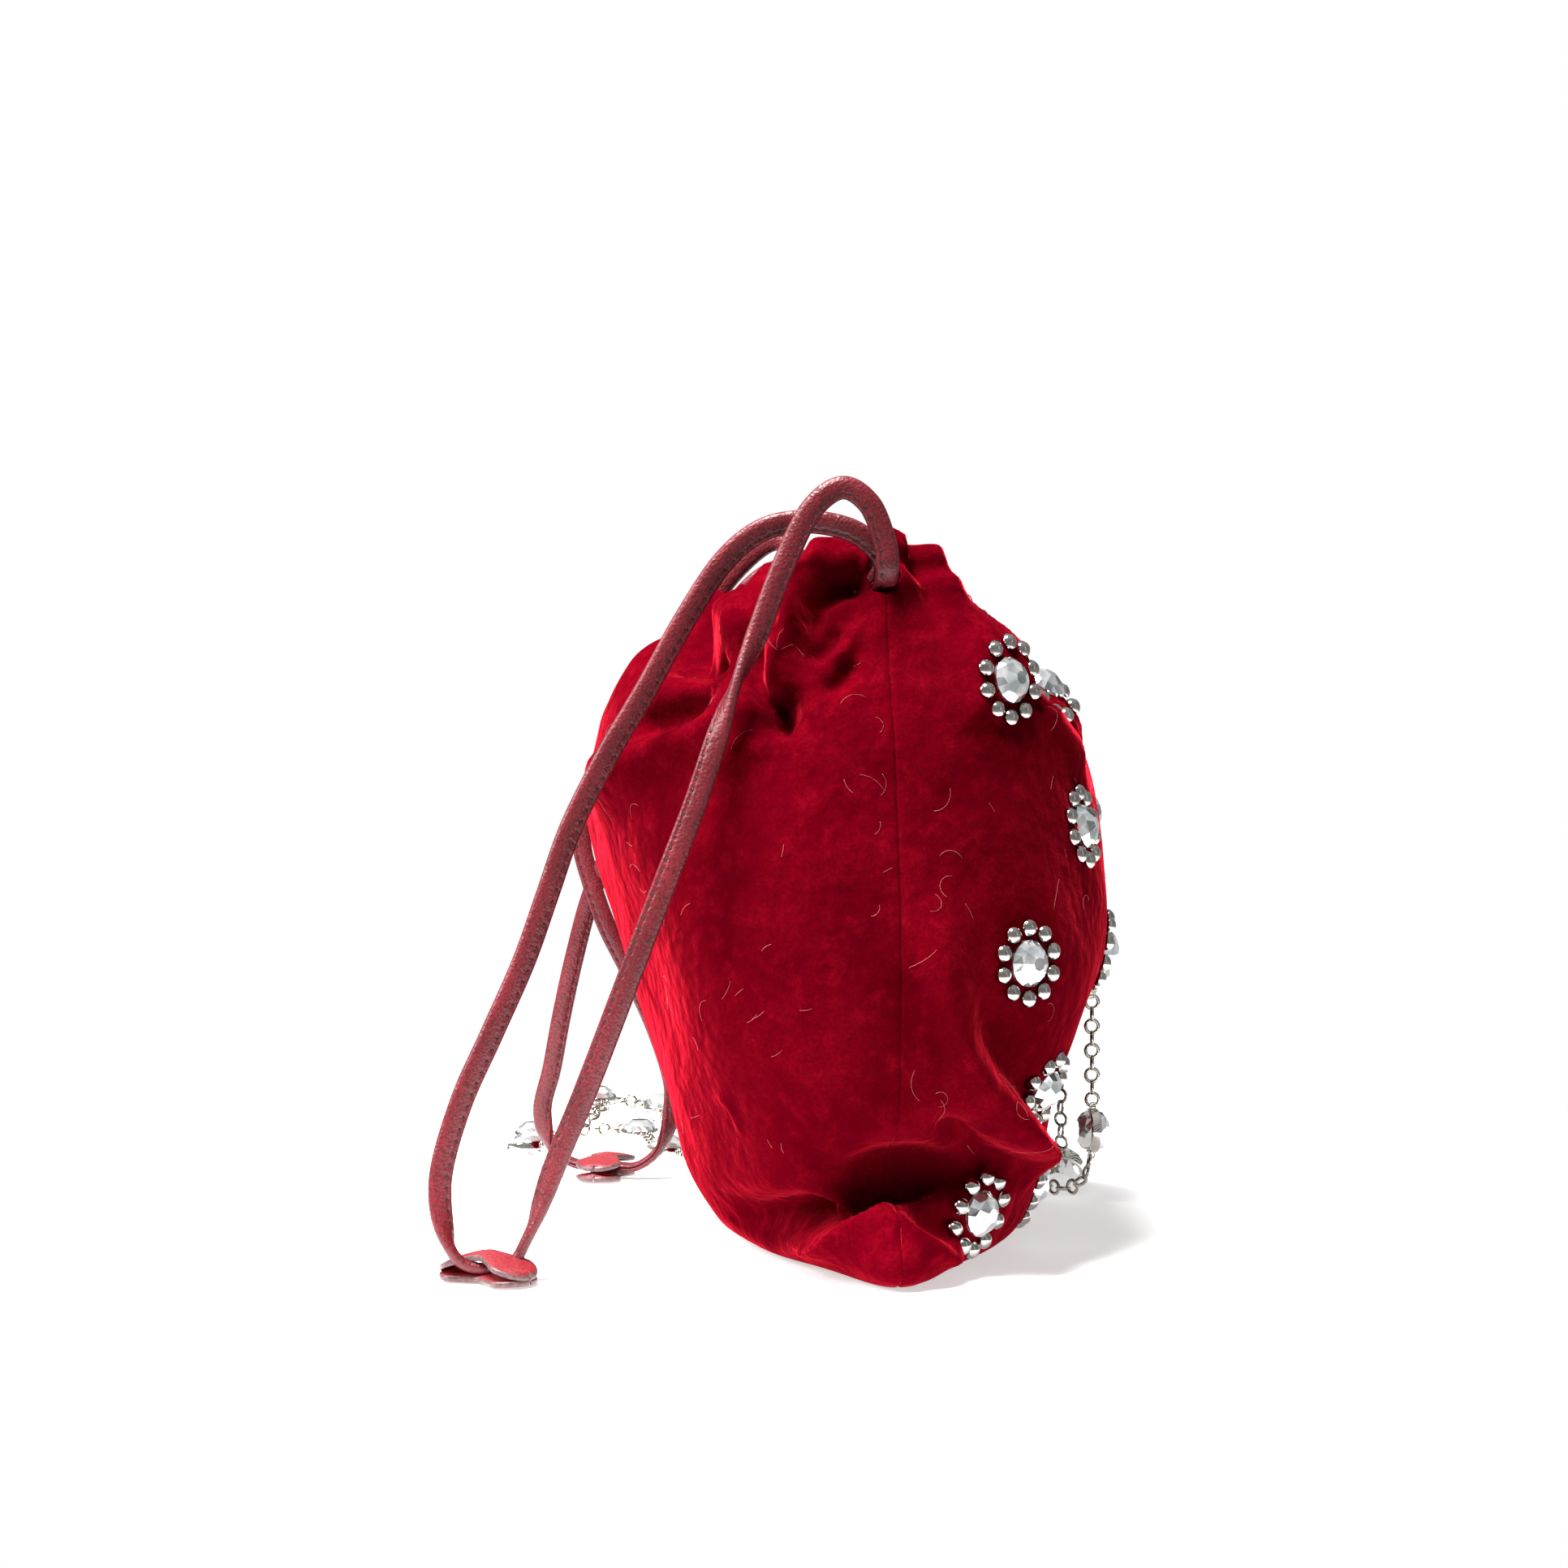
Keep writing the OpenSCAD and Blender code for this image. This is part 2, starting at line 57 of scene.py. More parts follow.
# Power of the outline's ellipse: 1 is an ellipse, and less is fuller at the corners
SQUARENESS = 0.87
VELVET_T = 0.0016
STRAP_T = 0.003
SLIT_Z = 0.180
SLIT_HALF = 0.0042
LEAF_T = 0.0015
LEAF_HALF = 0.014
LEAF_END_R = 0.0075
LEAF_WAIST = 0.004
UPPER_LEAF_Z = LEAF_T + STRAP_T + 0.0011
CRYSTAL_R = 0.006
CRYSTAL_H = 0.0042
STUD_R = 0.00235
STUDS = 10
STUD_RING_R = 0.0089
LINK_D = 0.0049
LINK_WIRE = 0.00105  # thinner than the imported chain's, so that its links stay open
BEZEL_R = 0.0065
GEM_T = 0.0094
GEM_PITCH = 0.047
FIRST_GEM = 0.011

# Half width, and depth to the front and to the back, in mm at each part of the height. The depths at
# the shoulder and the flowers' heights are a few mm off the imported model's
WIDTH_STEPS = [(0, 76), (0.06, 88), (0.14, 92), (0.3, 99), (0.42, 100), (0.55, 98), (0.7, 91),
               (0.82, 82), (0.9, 75), (1, 68)]
FRONT_STEPS = [(0, 37), (0.03, 42), (0.12, 50), (0.22, 54), (0.34, 61), (0.46, 68), (0.55, 69),
               (0.7, 66), (0.8, 60), (0.86, 52), (0.91, 41), (0.95, 32), (1, 26)]
BACK_STEPS = [(0, 32), (0.03, 36), (0.12, 45), (0.22, 50), (0.34, 56), (0.5, 64), (0.62, 70),
              (0.72, 73), (0.82, 69), (0.9, 59), (0.95, 45), (1, 34)]

# Rows of a diamond lattice of flowers, each a height in mm and angles in degrees from the near seam
WIDE_ROW = [27, 71, 109, 153]
NARROW_ROW = [50, 90, 130]
FLOWER_ROWS = [(16, WIDE_ROW), (45, NARROW_ROW), (80, WIDE_ROW), (114, NARROW_ROW), (150, WIDE_ROW)]

# Routes in mm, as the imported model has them, but for the drawstrings' ends, which go on into the slits
NEAR_ROUTE = [
    (-68.5, 0, 176), (-74.5, 0, 176.6), (-78.2, 0, 180.5), (-79, 1, 187), (-80, 5, 196), (-80, 12, 200),
    (-80, 20, 194), (-81, 27, 180), (-82, 34, 162), (-85, 41, 146), (-86, 49, 122), (-86, 57, 101),
    (-84, 66, 77), (-80, 76, 50), (-77, 84, 30), (-75, 91, 11), (-75, 96, 4), (-75, 106, 4),
    (-75, 111, 10), (-73, 113, 25), (-72, 108, 44), (-71, 100, 62), (-70, 92, 80), (-70, 86, 97),
    (-70, 80, 114), (-70, 71, 132), (-70, 61, 149), (-70, 51, 167), (-70, 41, 182), (-71, 31, 190),
    (-72, 20, 192), (-73, 9, 190), (-73.6, 2, 185), (-72, 0, 181.5), (-68.5, 0, 180.4)]
FAR_ROUTE = [
    (68.5, 0, 176), (74.5, 0, 176.6), (78.2, 0, 180.5), (79, 1, 187), (80, 5, 196), (82, 12, 200),
    (86, 24, 190), (91, 38, 170), (96, 54, 146), (100, 66, 124), (101, 70, 108), (101, 67, 94),
    (101, 62, 80), (102, 54, 64), (103, 46, 46), (104, 41, 28), (105, 44, 12), (107, 52, 4),
    (111, 62, 4), (114, 71, 4), (116, 79, 9), (115, 82, 21), (112, 79, 35), (109, 76, 52), (106, 72, 71),
    (103, 67, 90), (98, 60, 107), (91, 53, 125), (84, 43, 147), (79, 32, 168), (76, 21, 184),
    (75, 11, 191), (74.2, 4, 189), (73.6, 2, 185), (72, 0, 181.5), (68.5, 0, 180.4)]
CHAIN_ROUTE = [
    (-46, 0, 171.5), (-39, -3, 178), (-26, -9, 182), (-10, -18, 182), (6, -27, 181), (17, -37, 178),
    (24, -47, 168), (27, -56, 155), (28, -64, 143), (29, -71, 129), (29, -75, 114), (29, -77, 96),
    (29, -77, 70), (29, -77, 42), (29, -77, 20), (31, -75, 9), (36, -71, 5), (43, -66, 5), (54, -61, 5),
    (70, -57, 5), (90, -50, 5), (107, -36, 5), (117, -14, 5), (120, 10, 5), (126, 30, 5), (140, 42, 5),
    (160, 44, 5), (182, 46, 5), (195, 60, 5), (188, 78, 5), (168, 88, 5), (146, 90, 5), (131, 80, 9),
    (136, 67, 15), (151, 61, 19), (168, 66, 19), (180, 56, 17), (174, 41, 15), (157, 29, 10),
    (144, 14, 5), (139, -10, 5), (132, -36, 5), (117, -56, 5), (96, -69, 5), (74, -74, 5), (58, -74, 6),
    (48, -72, 14), (45, -71, 30), (45, -71, 60), (45, -71, 92), (45, -69, 116), (46, -64, 132),
    (47, -57, 146), (48, -48, 162), (47, -38, 179), (45, -26, 188), (40, -14, 190), (38, -3, 183),
    (46, 0, 171.5)]


# ---------- Curves and numbers ----------
def through(x, steps):
    """Smooth line through (place, value) steps, without overshoot and level past both ends."""
    places, values = np.array(steps, float).T
    gaps = np.diff(places)
    rates = np.diff(values) / gaps
    product = rates[1:] * rates[:-1]
    total = np.where(np.abs(rates[1:] + rates[:-1]) < 1e-12, 1, rates[1:] + rates[:-1])
    inner = np.where(product > 0, 2 * product / total, 0)
    slopes = np.concatenate([[rates[0]], inner, [rates[-1]]])
    x = np.clip(x, places[0], places[-1])
    i = np.clip(np.searchsorted(places, x, side="right") - 1, 0, len(places) - 2)
    u = (x - places[i]) / gaps[i]
    return ((1 + 2 * u) * (1 - u) ** 2 * values[i] + u * (1 - u) ** 2 * gaps[i] * slopes[i]
            + u * u * (3 - 2 * u) * values[i + 1] + u * u * (u - 1) * gaps[i] * slopes[i + 1])


def rise(x, low, high):
    """0 below low, 1 above high, smooth between."""
    u = np.clip((x - low) / (high - low), 0, 1)
    return u * u * (3 - 2 * u)


def bump(x, middle, spread):
    """1 at the middle, falling smoothly to 0 on both sides."""
    return np.exp(-(((x - middle) / spread) ** 2))


def unit(v):
    """Vectors made 1 long."""
    return v / np.maximum(np.linalg.norm(v, axis=-1, keepdims=True), 1e-12)


def smooth_line(points, step):
    """Catmull-Rom curve through points, cut into equal steps of about that length."""
    p = np.array(points, float)
    p = np.vstack([p[0], p, p[-1]])
    u = np.linspace(0, 1, 24, endpoint=False)[:, None]
    parts = []
    for a, b, c, d in zip(p, p[1:], p[2:], p[3:]):
        parts.append(0.5 * (2 * b + (c - a) * u + (2 * a - 5 * b + 4 * c - d) * u * u
                            + (3 * b - a - 3 * c + d) * u ** 3))
    fine = np.vstack(parts + [p[-1:]])
    run = run_of(fine)
    count = max(2, int(round(run[-1] / step)) + 1)
    return at_runs(fine, run, np.linspace(0, run[-1], count))


def run_of(line):
    """Distance along a line at each of its points."""
    return np.concatenate([[0], np.cumsum(np.linalg.norm(np.diff(line, axis=0), axis=1))])


def at_runs(line, run, places):
    """Values along a line, given at each of its runs, at other places along it."""
    return np.stack([np.interp(places, run, line[:, k]) for k in range(line.shape[1])], -1)


# ---------- Meshes ----------
def make_piece(name, verts, faces, material, smooth=True, uv=None, outside=True):
    """A mesh object at the origin, with its place in its mesh. uv holds one pair per vertex."""
    mesh = bpy.data.meshes.new(name)
    mesh.from_pydata(np.asarray(verts, float).tolist(), [], [list(map(int, f)) for f in faces])
    if uv is not None:
        layer = mesh.uv_layers.new(name="Cloth")
        corner = np.empty(len(mesh.loops), np.int32)
        mesh.loops.foreach_get("vertex_index", corner)
        layer.data.foreach_set("uv", np.asarray(uv, np.float32)[corner].ravel())
    if outside:
        bm = bmesh.new()
        bm.from_mesh(mesh)
        bmesh.ops.recalc_face_normals(bm, faces=bm.faces)
        bm.to_mesh(mesh)
        bm.free()
    mesh.polygons.foreach_set("use_smooth", np.full(len(mesh.polygons), smooth))
    mesh.materials.append(material)
    piece = bpy.data.objects.new(name, mesh)
    bpy.context.scene.collection.objects.link(piece)
    return piece


def strip_faces(index, closed=False):
    """Quads over a grid of vertex numbers, closed round its columns or not."""
    a = np.asarray(index)
    if closed:
        a = np.hstack([a, a[:, :1]])
    return np.stack([a[:-1, :-1], a[:-1, 1:], a[1:, 1:], a[1:, :-1]], -1).reshape(-1, 4).tolist()


def rolled(outer, inner, beyond, cuts=3):
    """Rows of points round an edge, from an outer row to an inner one, standing out beyond it."""
    middle, half = (outer + inner) / 2, (outer - inner) / 2
    size = np.linalg.norm(half, axis=-1, keepdims=True)
    angles = np.linspace(0, np.pi, cuts + 2)[1:-1]
    return np.stack([middle + half * math.cos(a) + unit(beyond) * size * math.sin(a) for a in angles])


def cloth_shell(name, outer, inner, material, uv):
    """A closed sheet with thickness from two grids, its rim and its two ends rolled round."""
    rows, cols = outer.shape[:2]
    rim = rolled(outer[-1], inner[-1], outer[-1] - outer[-3])
    grid = np.concatenate([outer, rim, inner[::-1]])
    flat_uv = np.concatenate([uv, np.repeat(uv[-1:], len(rim), axis=0), uv[::-1]])
    verts, coords = [grid.reshape(-1, 3)], [flat_uv.reshape(-1, 2)]
    index = np.arange(grid.shape[0] * cols).reshape(-1, cols)
    faces = strip_faces(index)
    used = index.size
    for j, k in ((0, 2), (cols - 1, cols - 3)):
        end = rolled(outer[:, j], inner[:, j], outer[:, j] - outer[:, k])
        verts.append(end.reshape(-1, 3))
        coords.append(np.concatenate([uv[:, j]] * len(end)).reshape(-1, 2))
        new = used + np.arange(end.size // 3).reshape(len(end), rows)
        used += new.size
        back = index[::-1][:rows, j]
        faces += strip_faces(np.vstack([index[:rows, j], new, back]).T)
        faces.append([*index[rows - 1:rows + len(rim) + 1, j], *new[::-1, -1]])
        faces.append([index[0, j], *new[:, 0], index[-1, j]])
    faces += strip_faces(np.stack([index[0], index[-1]]))
    return make_piece(name, np.concatenate(verts), faces, material, uv=np.concatenate(coords))


def swept(lines, closed_ends=True):
    """Vertices and faces of a tube through rings of points, each end closed by a face or left open."""
    rings = np.asarray(lines)
    index = np.arange(rings.shape[0] * rings.shape[1]).reshape(rings.shape[:2])
    faces = strip_faces(index, closed=True)
    if closed_ends:
        faces += [list(index[0][::-1]), list(index[-1])]
    return rings.reshape(-1, 3), faces


def tube(line, radius, sides, aside):
    """Rings of a round tube along a line that never runs the way of aside."""
    heading = unit(np.gradient(line, axis=0))
    across = unit(np.cross(heading, aside))[:, None]
    up = np.cross(across[:, 0], heading)[:, None]
    a = (np.arange(sides) * 2 * np.pi / sides)[None, :, None]
    return line[:, None] + radius * (np.cos(a) * across + np.sin(a) * up)


def combined(parts):
    """Vertices and faces of several solids in one list."""
    verts, faces, used = [], [], 0
    for v, f in parts:
        verts.append(np.asarray(v))
        faces += [[k + used for k in face] for face in f]
        used += len(v)
    return np.concatenate(verts), faces


def lathe(profile, sides):
    """Rings of a turned shape from its (radius, height) profile."""
    a = np.arange(sides) * 2 * np.pi / sides
    return [np.stack([r * np.cos(a), r * np.sin(a), np.full(sides, z)], -1) for r, z in profile]


def cut_stone(radius, height, domed=0.0):
    """A round cut stone: a small table, eight kites round it, and sixteen pairs of facets below."""
    k = np.arange(16)
    a = k * np.pi / 8
    even = k % 2 == 0

    def ring(r, z):
        return np.stack([r * radius * np.cos(a), r * radius * np.sin(a), z * height + 0 * a], -1)

    girdle = [ring(1.0, -0.05), ring(1.0, 0.2)]
    middle = ring(np.where(even, 0.81, 0.72) + 0.14 * domed, np.where(even, 0.57, 0.69))
    table = ring(0.3 + 0.2 * domed, 1.0)[1::2]
    verts = np.concatenate(girdle + [middle, table])
    faces = [list(range(16))[::-1]]
    for j in range(16):
        n = (j + 1) % 16
        faces.append([j, n, 16 + n, 16 + j])
        faces += [[16 + j, 16 + n, 32 + j], [16 + n, 32 + n, 32 + j]]
    for j in range(8):
        before, after = 48 + (j - 1) % 8, 48 + j
        faces.append([32 + 2 * j, 32 + (2 * j + 1) % 16, after, before, 32 + (2 * j - 1) % 16])
    faces.append([48 + j for j in range(8)])
    return verts, faces


def axes_from(normal, along):
    """Three unit vectors: along, side and normal, as the columns of a matrix."""
    n = unit(np.asarray(normal, float))
    x = unit(np.asarray(along, float) - n * (np.asarray(along, float) @ n))
    return np.stack([x, np.cross(n, x), n], -1)


def placed(solid, matrix, place):
    """A solid turned by a matrix and moved to a place."""
    verts, faces = solid
    return np.asarray(verts) @ matrix.T + place, faces


# ---------- Materials ----------
# A wave texture's scale for one wave in a metre, and a Voronoi texture's for leather's pebbles
WAVE = 0.31
PEBBLES = 1500.0


def paint(code):
    """An sRGB hex colour as linear numbers."""
    parts = [int(code[k:k + 2], 16) / 255 for k in (1, 3, 5)]
    return [p / 12.92 if p <= 0.04045 else ((p + 0.055) / 1.055) ** 2.4 for p in parts] + [1]


def add(tree, kind, inputs=None, **settings):
    """Adds a node, sets what it has, and links or fills its inputs."""
    node = tree.nodes.new(kind)
    for name, value in settings.items():
        setattr(node, name, value)
    for name, value in (inputs or {}).items():
        if isinstance(value, bpy.types.NodeSocket):
            tree.links.new(value, node.inputs[name])
        else:
            node.inputs[name].default_value = value
    return node


def new_material(name):
    """A material, its empty node tree, and the place on the piece that its patterns are fixed to."""
    material = bpy.data.materials.new(name)
    material.use_nodes = True
    tree = material.node_tree
    tree.nodes.clear()
    return material, tree, add(tree, "ShaderNodeTexCoord").outputs["Object"]


def close(tree, **inputs):
    """The surface shader and the output that end a material."""
    named = {key.replace("_", " "): value for key, value in inputs.items()}
    shader = add(tree, "ShaderNodeBsdfPrincipled", named)
    add(tree, "ShaderNodeOutputMaterial", {"Surface": shader.outputs[0]})
    return shader


def mix(tree, part, a, b):
    """Colour a where part is 0 and b where it is 1. Either may be an sRGB hex code."""
    node = add(tree, "ShaderNodeMix", data_type="RGBA")
    for socket, value in ((node.inputs[0], part), (node.inputs[6], a), (node.inputs[7], b)):
        if isinstance(value, bpy.types.NodeSocket):
            tree.links.new(value, socket)
        else:
            socket.default_value = paint(value) if isinstance(value, str) else value
    return node.outputs[2]


def band(tree, value, low, high):
    """0 where value is below low and 1 above high."""
    node = add(tree, "ShaderNodeMapRange", {"Value": value, "From Min": low, "From Max": high})
    node.clamp = True
    return node.outputs[0]


def shades(tree, value, low, high, a, b):
    """Colour a where value is below low and colour b above high."""
    return mix(tree, band(tree, value, low, high), a, b)


def noise(tree, place, size, detail=2.0, rough=0.5):
    """Noise whose blots are about size metres across."""
    blots = 0.7  # width of the pattern's blots at scale 1
    return add(tree, "ShaderNodeTexNoise", {"Vector": place, "Scale": blots / size, "Detail": detail,
                                            "Roughness": rough}).outputs[0]


def bumped(tree, height, distance, strength=1.0, normal=None):
    """The normal of a surface that height lifts by up to distance metres, over another bump or none."""
    inputs = {"Height": height, "Distance": distance, "Strength": strength}
    if normal is not None:
        inputs["Normal"] = normal
    return add(tree, "ShaderNodeBump", inputs).outputs[0]


def cut_pile_velvet():
    """Silk-faced cut pile velvet: deep in the folds, with a soft bright edge where the pile turns away,
    mottled where the nap was pressed, and faintly ribbed by its rows of pile."""
    material, tree, place = new_material("cut_pile_velvet")
    cloth = add(tree, "ShaderNodeUVMap", uv_map="Cloth").outputs[0]
    nap = noise(tree, place, 0.016, 3.0, 0.62)
    crush = noise(tree, place, 0.0045, 4.0, 0.65)
    pile = noise(tree, place, 0.0006, 2.0, 0.7)
    deep = shades(tree, nap, 0.36, 0.66, "#4e000c", "#62020e")
    scuffed = shades(tree, crush, 0.5, 0.85, deep, "#7c0616")
    colour = shades(tree, pile, 0.3, 0.9, scuffed, "#440008")
    # Rows of pile about 0.6 mm apart
    rows = add(tree, "ShaderNodeTexWave", {"Vector": cloth, "Scale": 520.0, "Distortion": 0.3},
               bands_direction="X").outputs[1]
    normal = bumped(tree, nap, 0.005, 0.6)
    normal = bumped(tree, crush, 0.0008, 0.22, normal)
    normal = bumped(tree, rows, 0.00003, 0.12, normal)
    normal = bumped(tree, pile, 0.0003, 0.5, normal)
    close(tree, Base_Color=colour, Roughness=0.95, Specular_IOR_Level=0.0, Sheen_Weight=0.85,
          Sheen_Roughness=0.3, Sheen_Tint=paint("#ff2a40"), Normal=normal)
    return material


def rib_satin(name, low, high, spacing):
    """Woven satin or ribbed tape: fine straight threads, a low soft shine."""
    material, tree, place = new_material(name)
    cloth = add(tree, "ShaderNodeUVMap", uv_map="Cloth").outputs[0]
    threads = add(tree, "ShaderNodeTexWave", {"Vector": cloth, "Scale": WAVE / spacing,
                                              "Distortion": 0.6}, bands_direction="Y").outputs[1]
    colour = shades(tree, noise(tree, place, 0.02), 0.35, 0.65, low, high)
    normal = bumped(tree, threads, 0.0002, 0.4, bumped(tree, noise(tree, place, 0.012), 0.002, 0.5))
    close(tree, Base_Color=colour, Roughness=0.45, Specular_IOR_Level=0.4, Sheen_Weight=0.3,
          Sheen_Roughness=0.4, Sheen_Tint=paint("#d04a52"), Normal=normal)
    return material


def calf_leather():
    """Folded calf leather with a pearly rose finish: fine pebbles and creases, and a satin gloss that
    catches along the turned edges."""
    material, tree, place = new_material("rose_calf_leather")
    grain = add(tree, "ShaderNodeTexVoronoi", {"Vector": place, "Scale": PEBBLES},
                feature="SMOOTH_F1").outputs[0]
    crease = noise(tree, place, 0.0016, 3.0, 0.6)
    worn = noise(tree, place, 0.012, 2.0)
    base = shades(tree, worn, 0.35, 0.7, "#5e131b", "#741d26")
    colour = shades(tree, grain, 0.3, 0.8, base, "#480d14")
    normal = bumped(tree, crease, 0.0006, 0.3)
    normal = bumped(tree, grain, 0.0003, 0.6, normal)
    close(tree, Base_Color=colour, Roughness=0.4, Specular_IOR_Level=0.38, Coat_Weight=0.06,
          Coat_Roughness=0.25, Normal=normal)
    return material


def tab_leather():
    """The same calf leather, flat and unworn, in a warmer and lighter red."""
    material, tree, place = new_material("tab_calf_leather")
    grain = add(tree, "ShaderNodeTexVoronoi", {"Vector": place, "Scale": PEBBLES},
                feature="SMOOTH_F1").outputs[0]
    worn = noise(tree, place, 0.008, 2.0)
    base = shades(tree, worn, 0.35, 0.7, "#8c2029", "#a02c34")
    colour = shades(tree, grain, 0.2, 0.65, base, "#741a22")
    close(tree, Base_Color=colour, Roughness=0.42, Specular_IOR_Level=0.5, Coat_Weight=0.08,
          Coat_Roughness=0.4, Normal=bumped(tree, grain, 0.0002, 0.55))
    return material


def edge_paint():
    """Sealed cut edge of leather: dark brown, slightly glossy, with the fibres just showing."""
    material, tree, place = new_material("leather_edge_paint")
    fibre = noise(tree, place, 0.0006, 3.0)
    colour = shades(tree, fibre, 0.3, 0.7, "#4a2b2c", "#6e5150")
    close(tree, Base_Color=colour, Roughness=0.4, Normal=bumped(tree, fibre, 0.0002, 0.4))
    return material


def waxed_thread():
    """Bonded thread with its twist, much darker than the leather: partly the thread's own colour and
    partly painted shade of the stitch holes it sits in.
    """
    material, tree, place = new_material("waxed_thread")
    twist = noise(tree, place, 0.0003, 1.0)
    # Near-black thread colour: partly the thread's own, partly painted shade of the stitch holes
    colour = mix(tree, twist, "#240609", "#3a0d14")
    close(tree, Base_Color=colour, Roughness=0.5, Normal=bumped(tree, twist, 0.0001, 0.4))
    return material


def plated_metal(name, low, high, rough, wear=0.003):
    """Electroplated brass, polished: clear reflections, a little uneven, with faint handling marks."""
    material, tree, place = new_material(name)
    marks = noise(tree, place, wear, 4.0, 0.6)
    fine = noise(tree, place, 0.0005, 2.0)
    colour = shades(tree, marks, 0.35, 0.7, low, high)
    gloss = add(tree, "ShaderNodeMapRange", {"Value": fine, "To Min": rough * 0.7,
                                             "To Max": rough * 1.5}).outputs[0]
    close(tree, Base_Color=colour, Metallic=1.0, Roughness=gloss,
          Normal=bumped(tree, marks, 0.0002, 0.15))
    return material


def cut_glass(name, tint, clear, rough):
    """Lead crystal, cut and polished, with silver foil behind it: bright facets beside dark ones."""
    material, tree, place = new_material(name)
    cloud = noise(tree, place, 0.003, 2.0)
    colour = shades(tree, cloud, 0.35, 0.65, tint, "#ffffff")
    close(tree, Base_Color=colour, Metallic=1.0 - clear, Roughness=rough, IOR=1.58,
          Transmission_Weight=clear, Coat_Weight=0.6, Coat_Roughness=0.02)
    return material


def grey_board():
    """Pressed fibre board: matt, flecked grey."""
    material, tree, place = new_material("fibre_board")
    fleck = noise(tree, place, 0.0015, 4.0, 0.7)
    colour = shades(tree, fleck, 0.35, 0.65, "#4a4643", "#6a645e")
    close(tree, Base_Color=colour, Roughness=0.9, Normal=bumped(tree, fleck, 0.0003, 0.4))
    return material


def cotton_lint():
    """Stray fibres of lint: pale, thin and matt."""
    material, tree, place = new_material("cotton_lint")
    tone = noise(tree, place, 0.004, 1.0)
    close(tree, Base_Color=mix(tree, tone, "#8c2a2c", "#cf8f88"), Roughness=0.8)
    return material


VELVET = cut_pile_velvet()
LINING = rib_satin("lining_satin", "#3a0a10", "#4c1016", 0.0006)
TAPE = rib_satin("channel_grosgrain", "#4a0c14", "#5c121b", 0.0012)
STRAP = calf_leather()
TAB = tab_leather()
EDGE = edge_paint()
THREAD = waxed_thread()
SILVER = plated_metal("nickel_plated_brass", "#8f897e", "#bcb6ab", 0.12)
BAND = plated_metal("polished_nickel_band", "#c2beb6", "#dedbd4", 0.07)
STUD = plated_metal("gunmetal_plated_brass", "#98948f", "#bab6b2", 0.1, 0.002)
CHAIN_GLASS = cut_glass("double_cut_crystal", "#f2f8f4", 0.3, 0.015)
FLOWER_GLASS = cut_glass("foiled_crystal", "#c4ccce", 0.12, 0.02)
BOARD = grey_board()
LINT = cotton_lint()


# ---------- Copies along a route or over a surface ----------
def copies_tree():
    """A node tree that puts a piece at every point, turned by the point's own away and along."""
    tree = bpy.data.node_groups.new("copies_at_points", "GeometryNodeTree")
    for label, kind in (("Geometry", "NodeSocketGeometry"), ("Piece", "NodeSocketObject"),
                        ("Unevenness", "NodeSocketFloat"), ("Finish", "NodeSocketMaterial")):
        tree.interface.new_socket(label, in_out="INPUT", socket_type=kind)
    tree.interface.new_socket("Geometry", in_out="OUTPUT", socket_type="NodeSocketGeometry")
    given = add(tree, "NodeGroupInput").outputs
    piece = add(tree, "GeometryNodeObjectInfo", {"Object": given["Piece"]}).outputs["Geometry"]
    away, along = (add(tree, "GeometryNodeInputNamedAttribute", {"Name": label},
                       data_type="FLOAT_VECTOR").outputs[0] for label in ("away", "along"))
    upright = add(tree, "FunctionNodeAlignRotationToVector", {"Vector": away}, axis="Z").outputs[0]
    turned = add(tree, "FunctionNodeAlignRotationToVector", {"Rotation": upright, "Vector": along},
                 axis="X", pivot_axis="Z").outputs[0]
    low = add(tree, "ShaderNodeMath", {0: 1.0, 1: given["Unevenness"]}, operation="SUBTRACT")
    high = add(tree, "ShaderNodeMath", {0: 1.0, 1: given["Unevenness"]}, operation="ADD")
    size = add(tree, "FunctionNodeRandomValue", {2: low.outputs[0], 3: high.outputs[0], "Seed": 3},
               data_type="FLOAT")
    copies = add(tree, "GeometryNodeInstanceOnPoints",
                 {"Points": given["Geometry"], "Instance": piece, "Rotation": turned,
                  "Scale": size.outputs[1]}).outputs[0]
    solid = add(tree, "GeometryNodeRealizeInstances", {"Geometry": copies}).outputs[0]
    done = add(tree, "GeometryNodeSetMaterial", {"Geometry": solid, "Material": given["Finish"]})
    add(tree, "NodeGroupOutput", {"Geometry": done.outputs[0]})
    return tree


COPIES = copies_tree()


def copies(name, solid, places, away, along, material, smooth=True, uneven=0.0):
    """One mesh with a copy of the solid at each place."""
    pattern = make_piece("pattern", *solid, material, smooth)
    points = bpy.data.meshes.new("points")
    points.from_pydata([tuple(p) for p in places], [], [])
    for label, values in (("away", away), ("along", along)):
        attribute = points.attributes.new(label, "FLOAT_VECTOR", "POINT")
        attribute.data.foreach_set("vector", np.asarray(values, np.float32).ravel())
    carrier = bpy.data.objects.new("carrier", points)
    bpy.context.scene.collection.objects.link(carrier)
    modifier = carrier.modifiers.new("copies", "NODES")
    modifier.node_group = COPIES
    keys = {item.name: item.identifier for item in COPIES.interface.items_tree
            if item.in_out == "INPUT"}
    modifier[keys["Piece"]] = pattern
    modifier[keys["Unevenness"]] = uneven
    modifier[keys["Finish"]] = material
    graph = bpy.context.evaluated_depsgraph_get()
    mesh = bpy.data.meshes.new_from_object(carrier.evaluated_get(graph))
    piece = bpy.data.objects.new(name, mesh)
    mesh.name = name
    bpy.context.scene.collection.objects.link(piece)
    for spare in (carrier, pattern):
        bpy.data.objects.remove(spare)
    return piece


def stand_in(piece, body, slot, *replaced):
    """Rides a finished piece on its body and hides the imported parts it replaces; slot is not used."""
    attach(piece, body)
    if replaced:
        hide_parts(*replaced)
    return piece


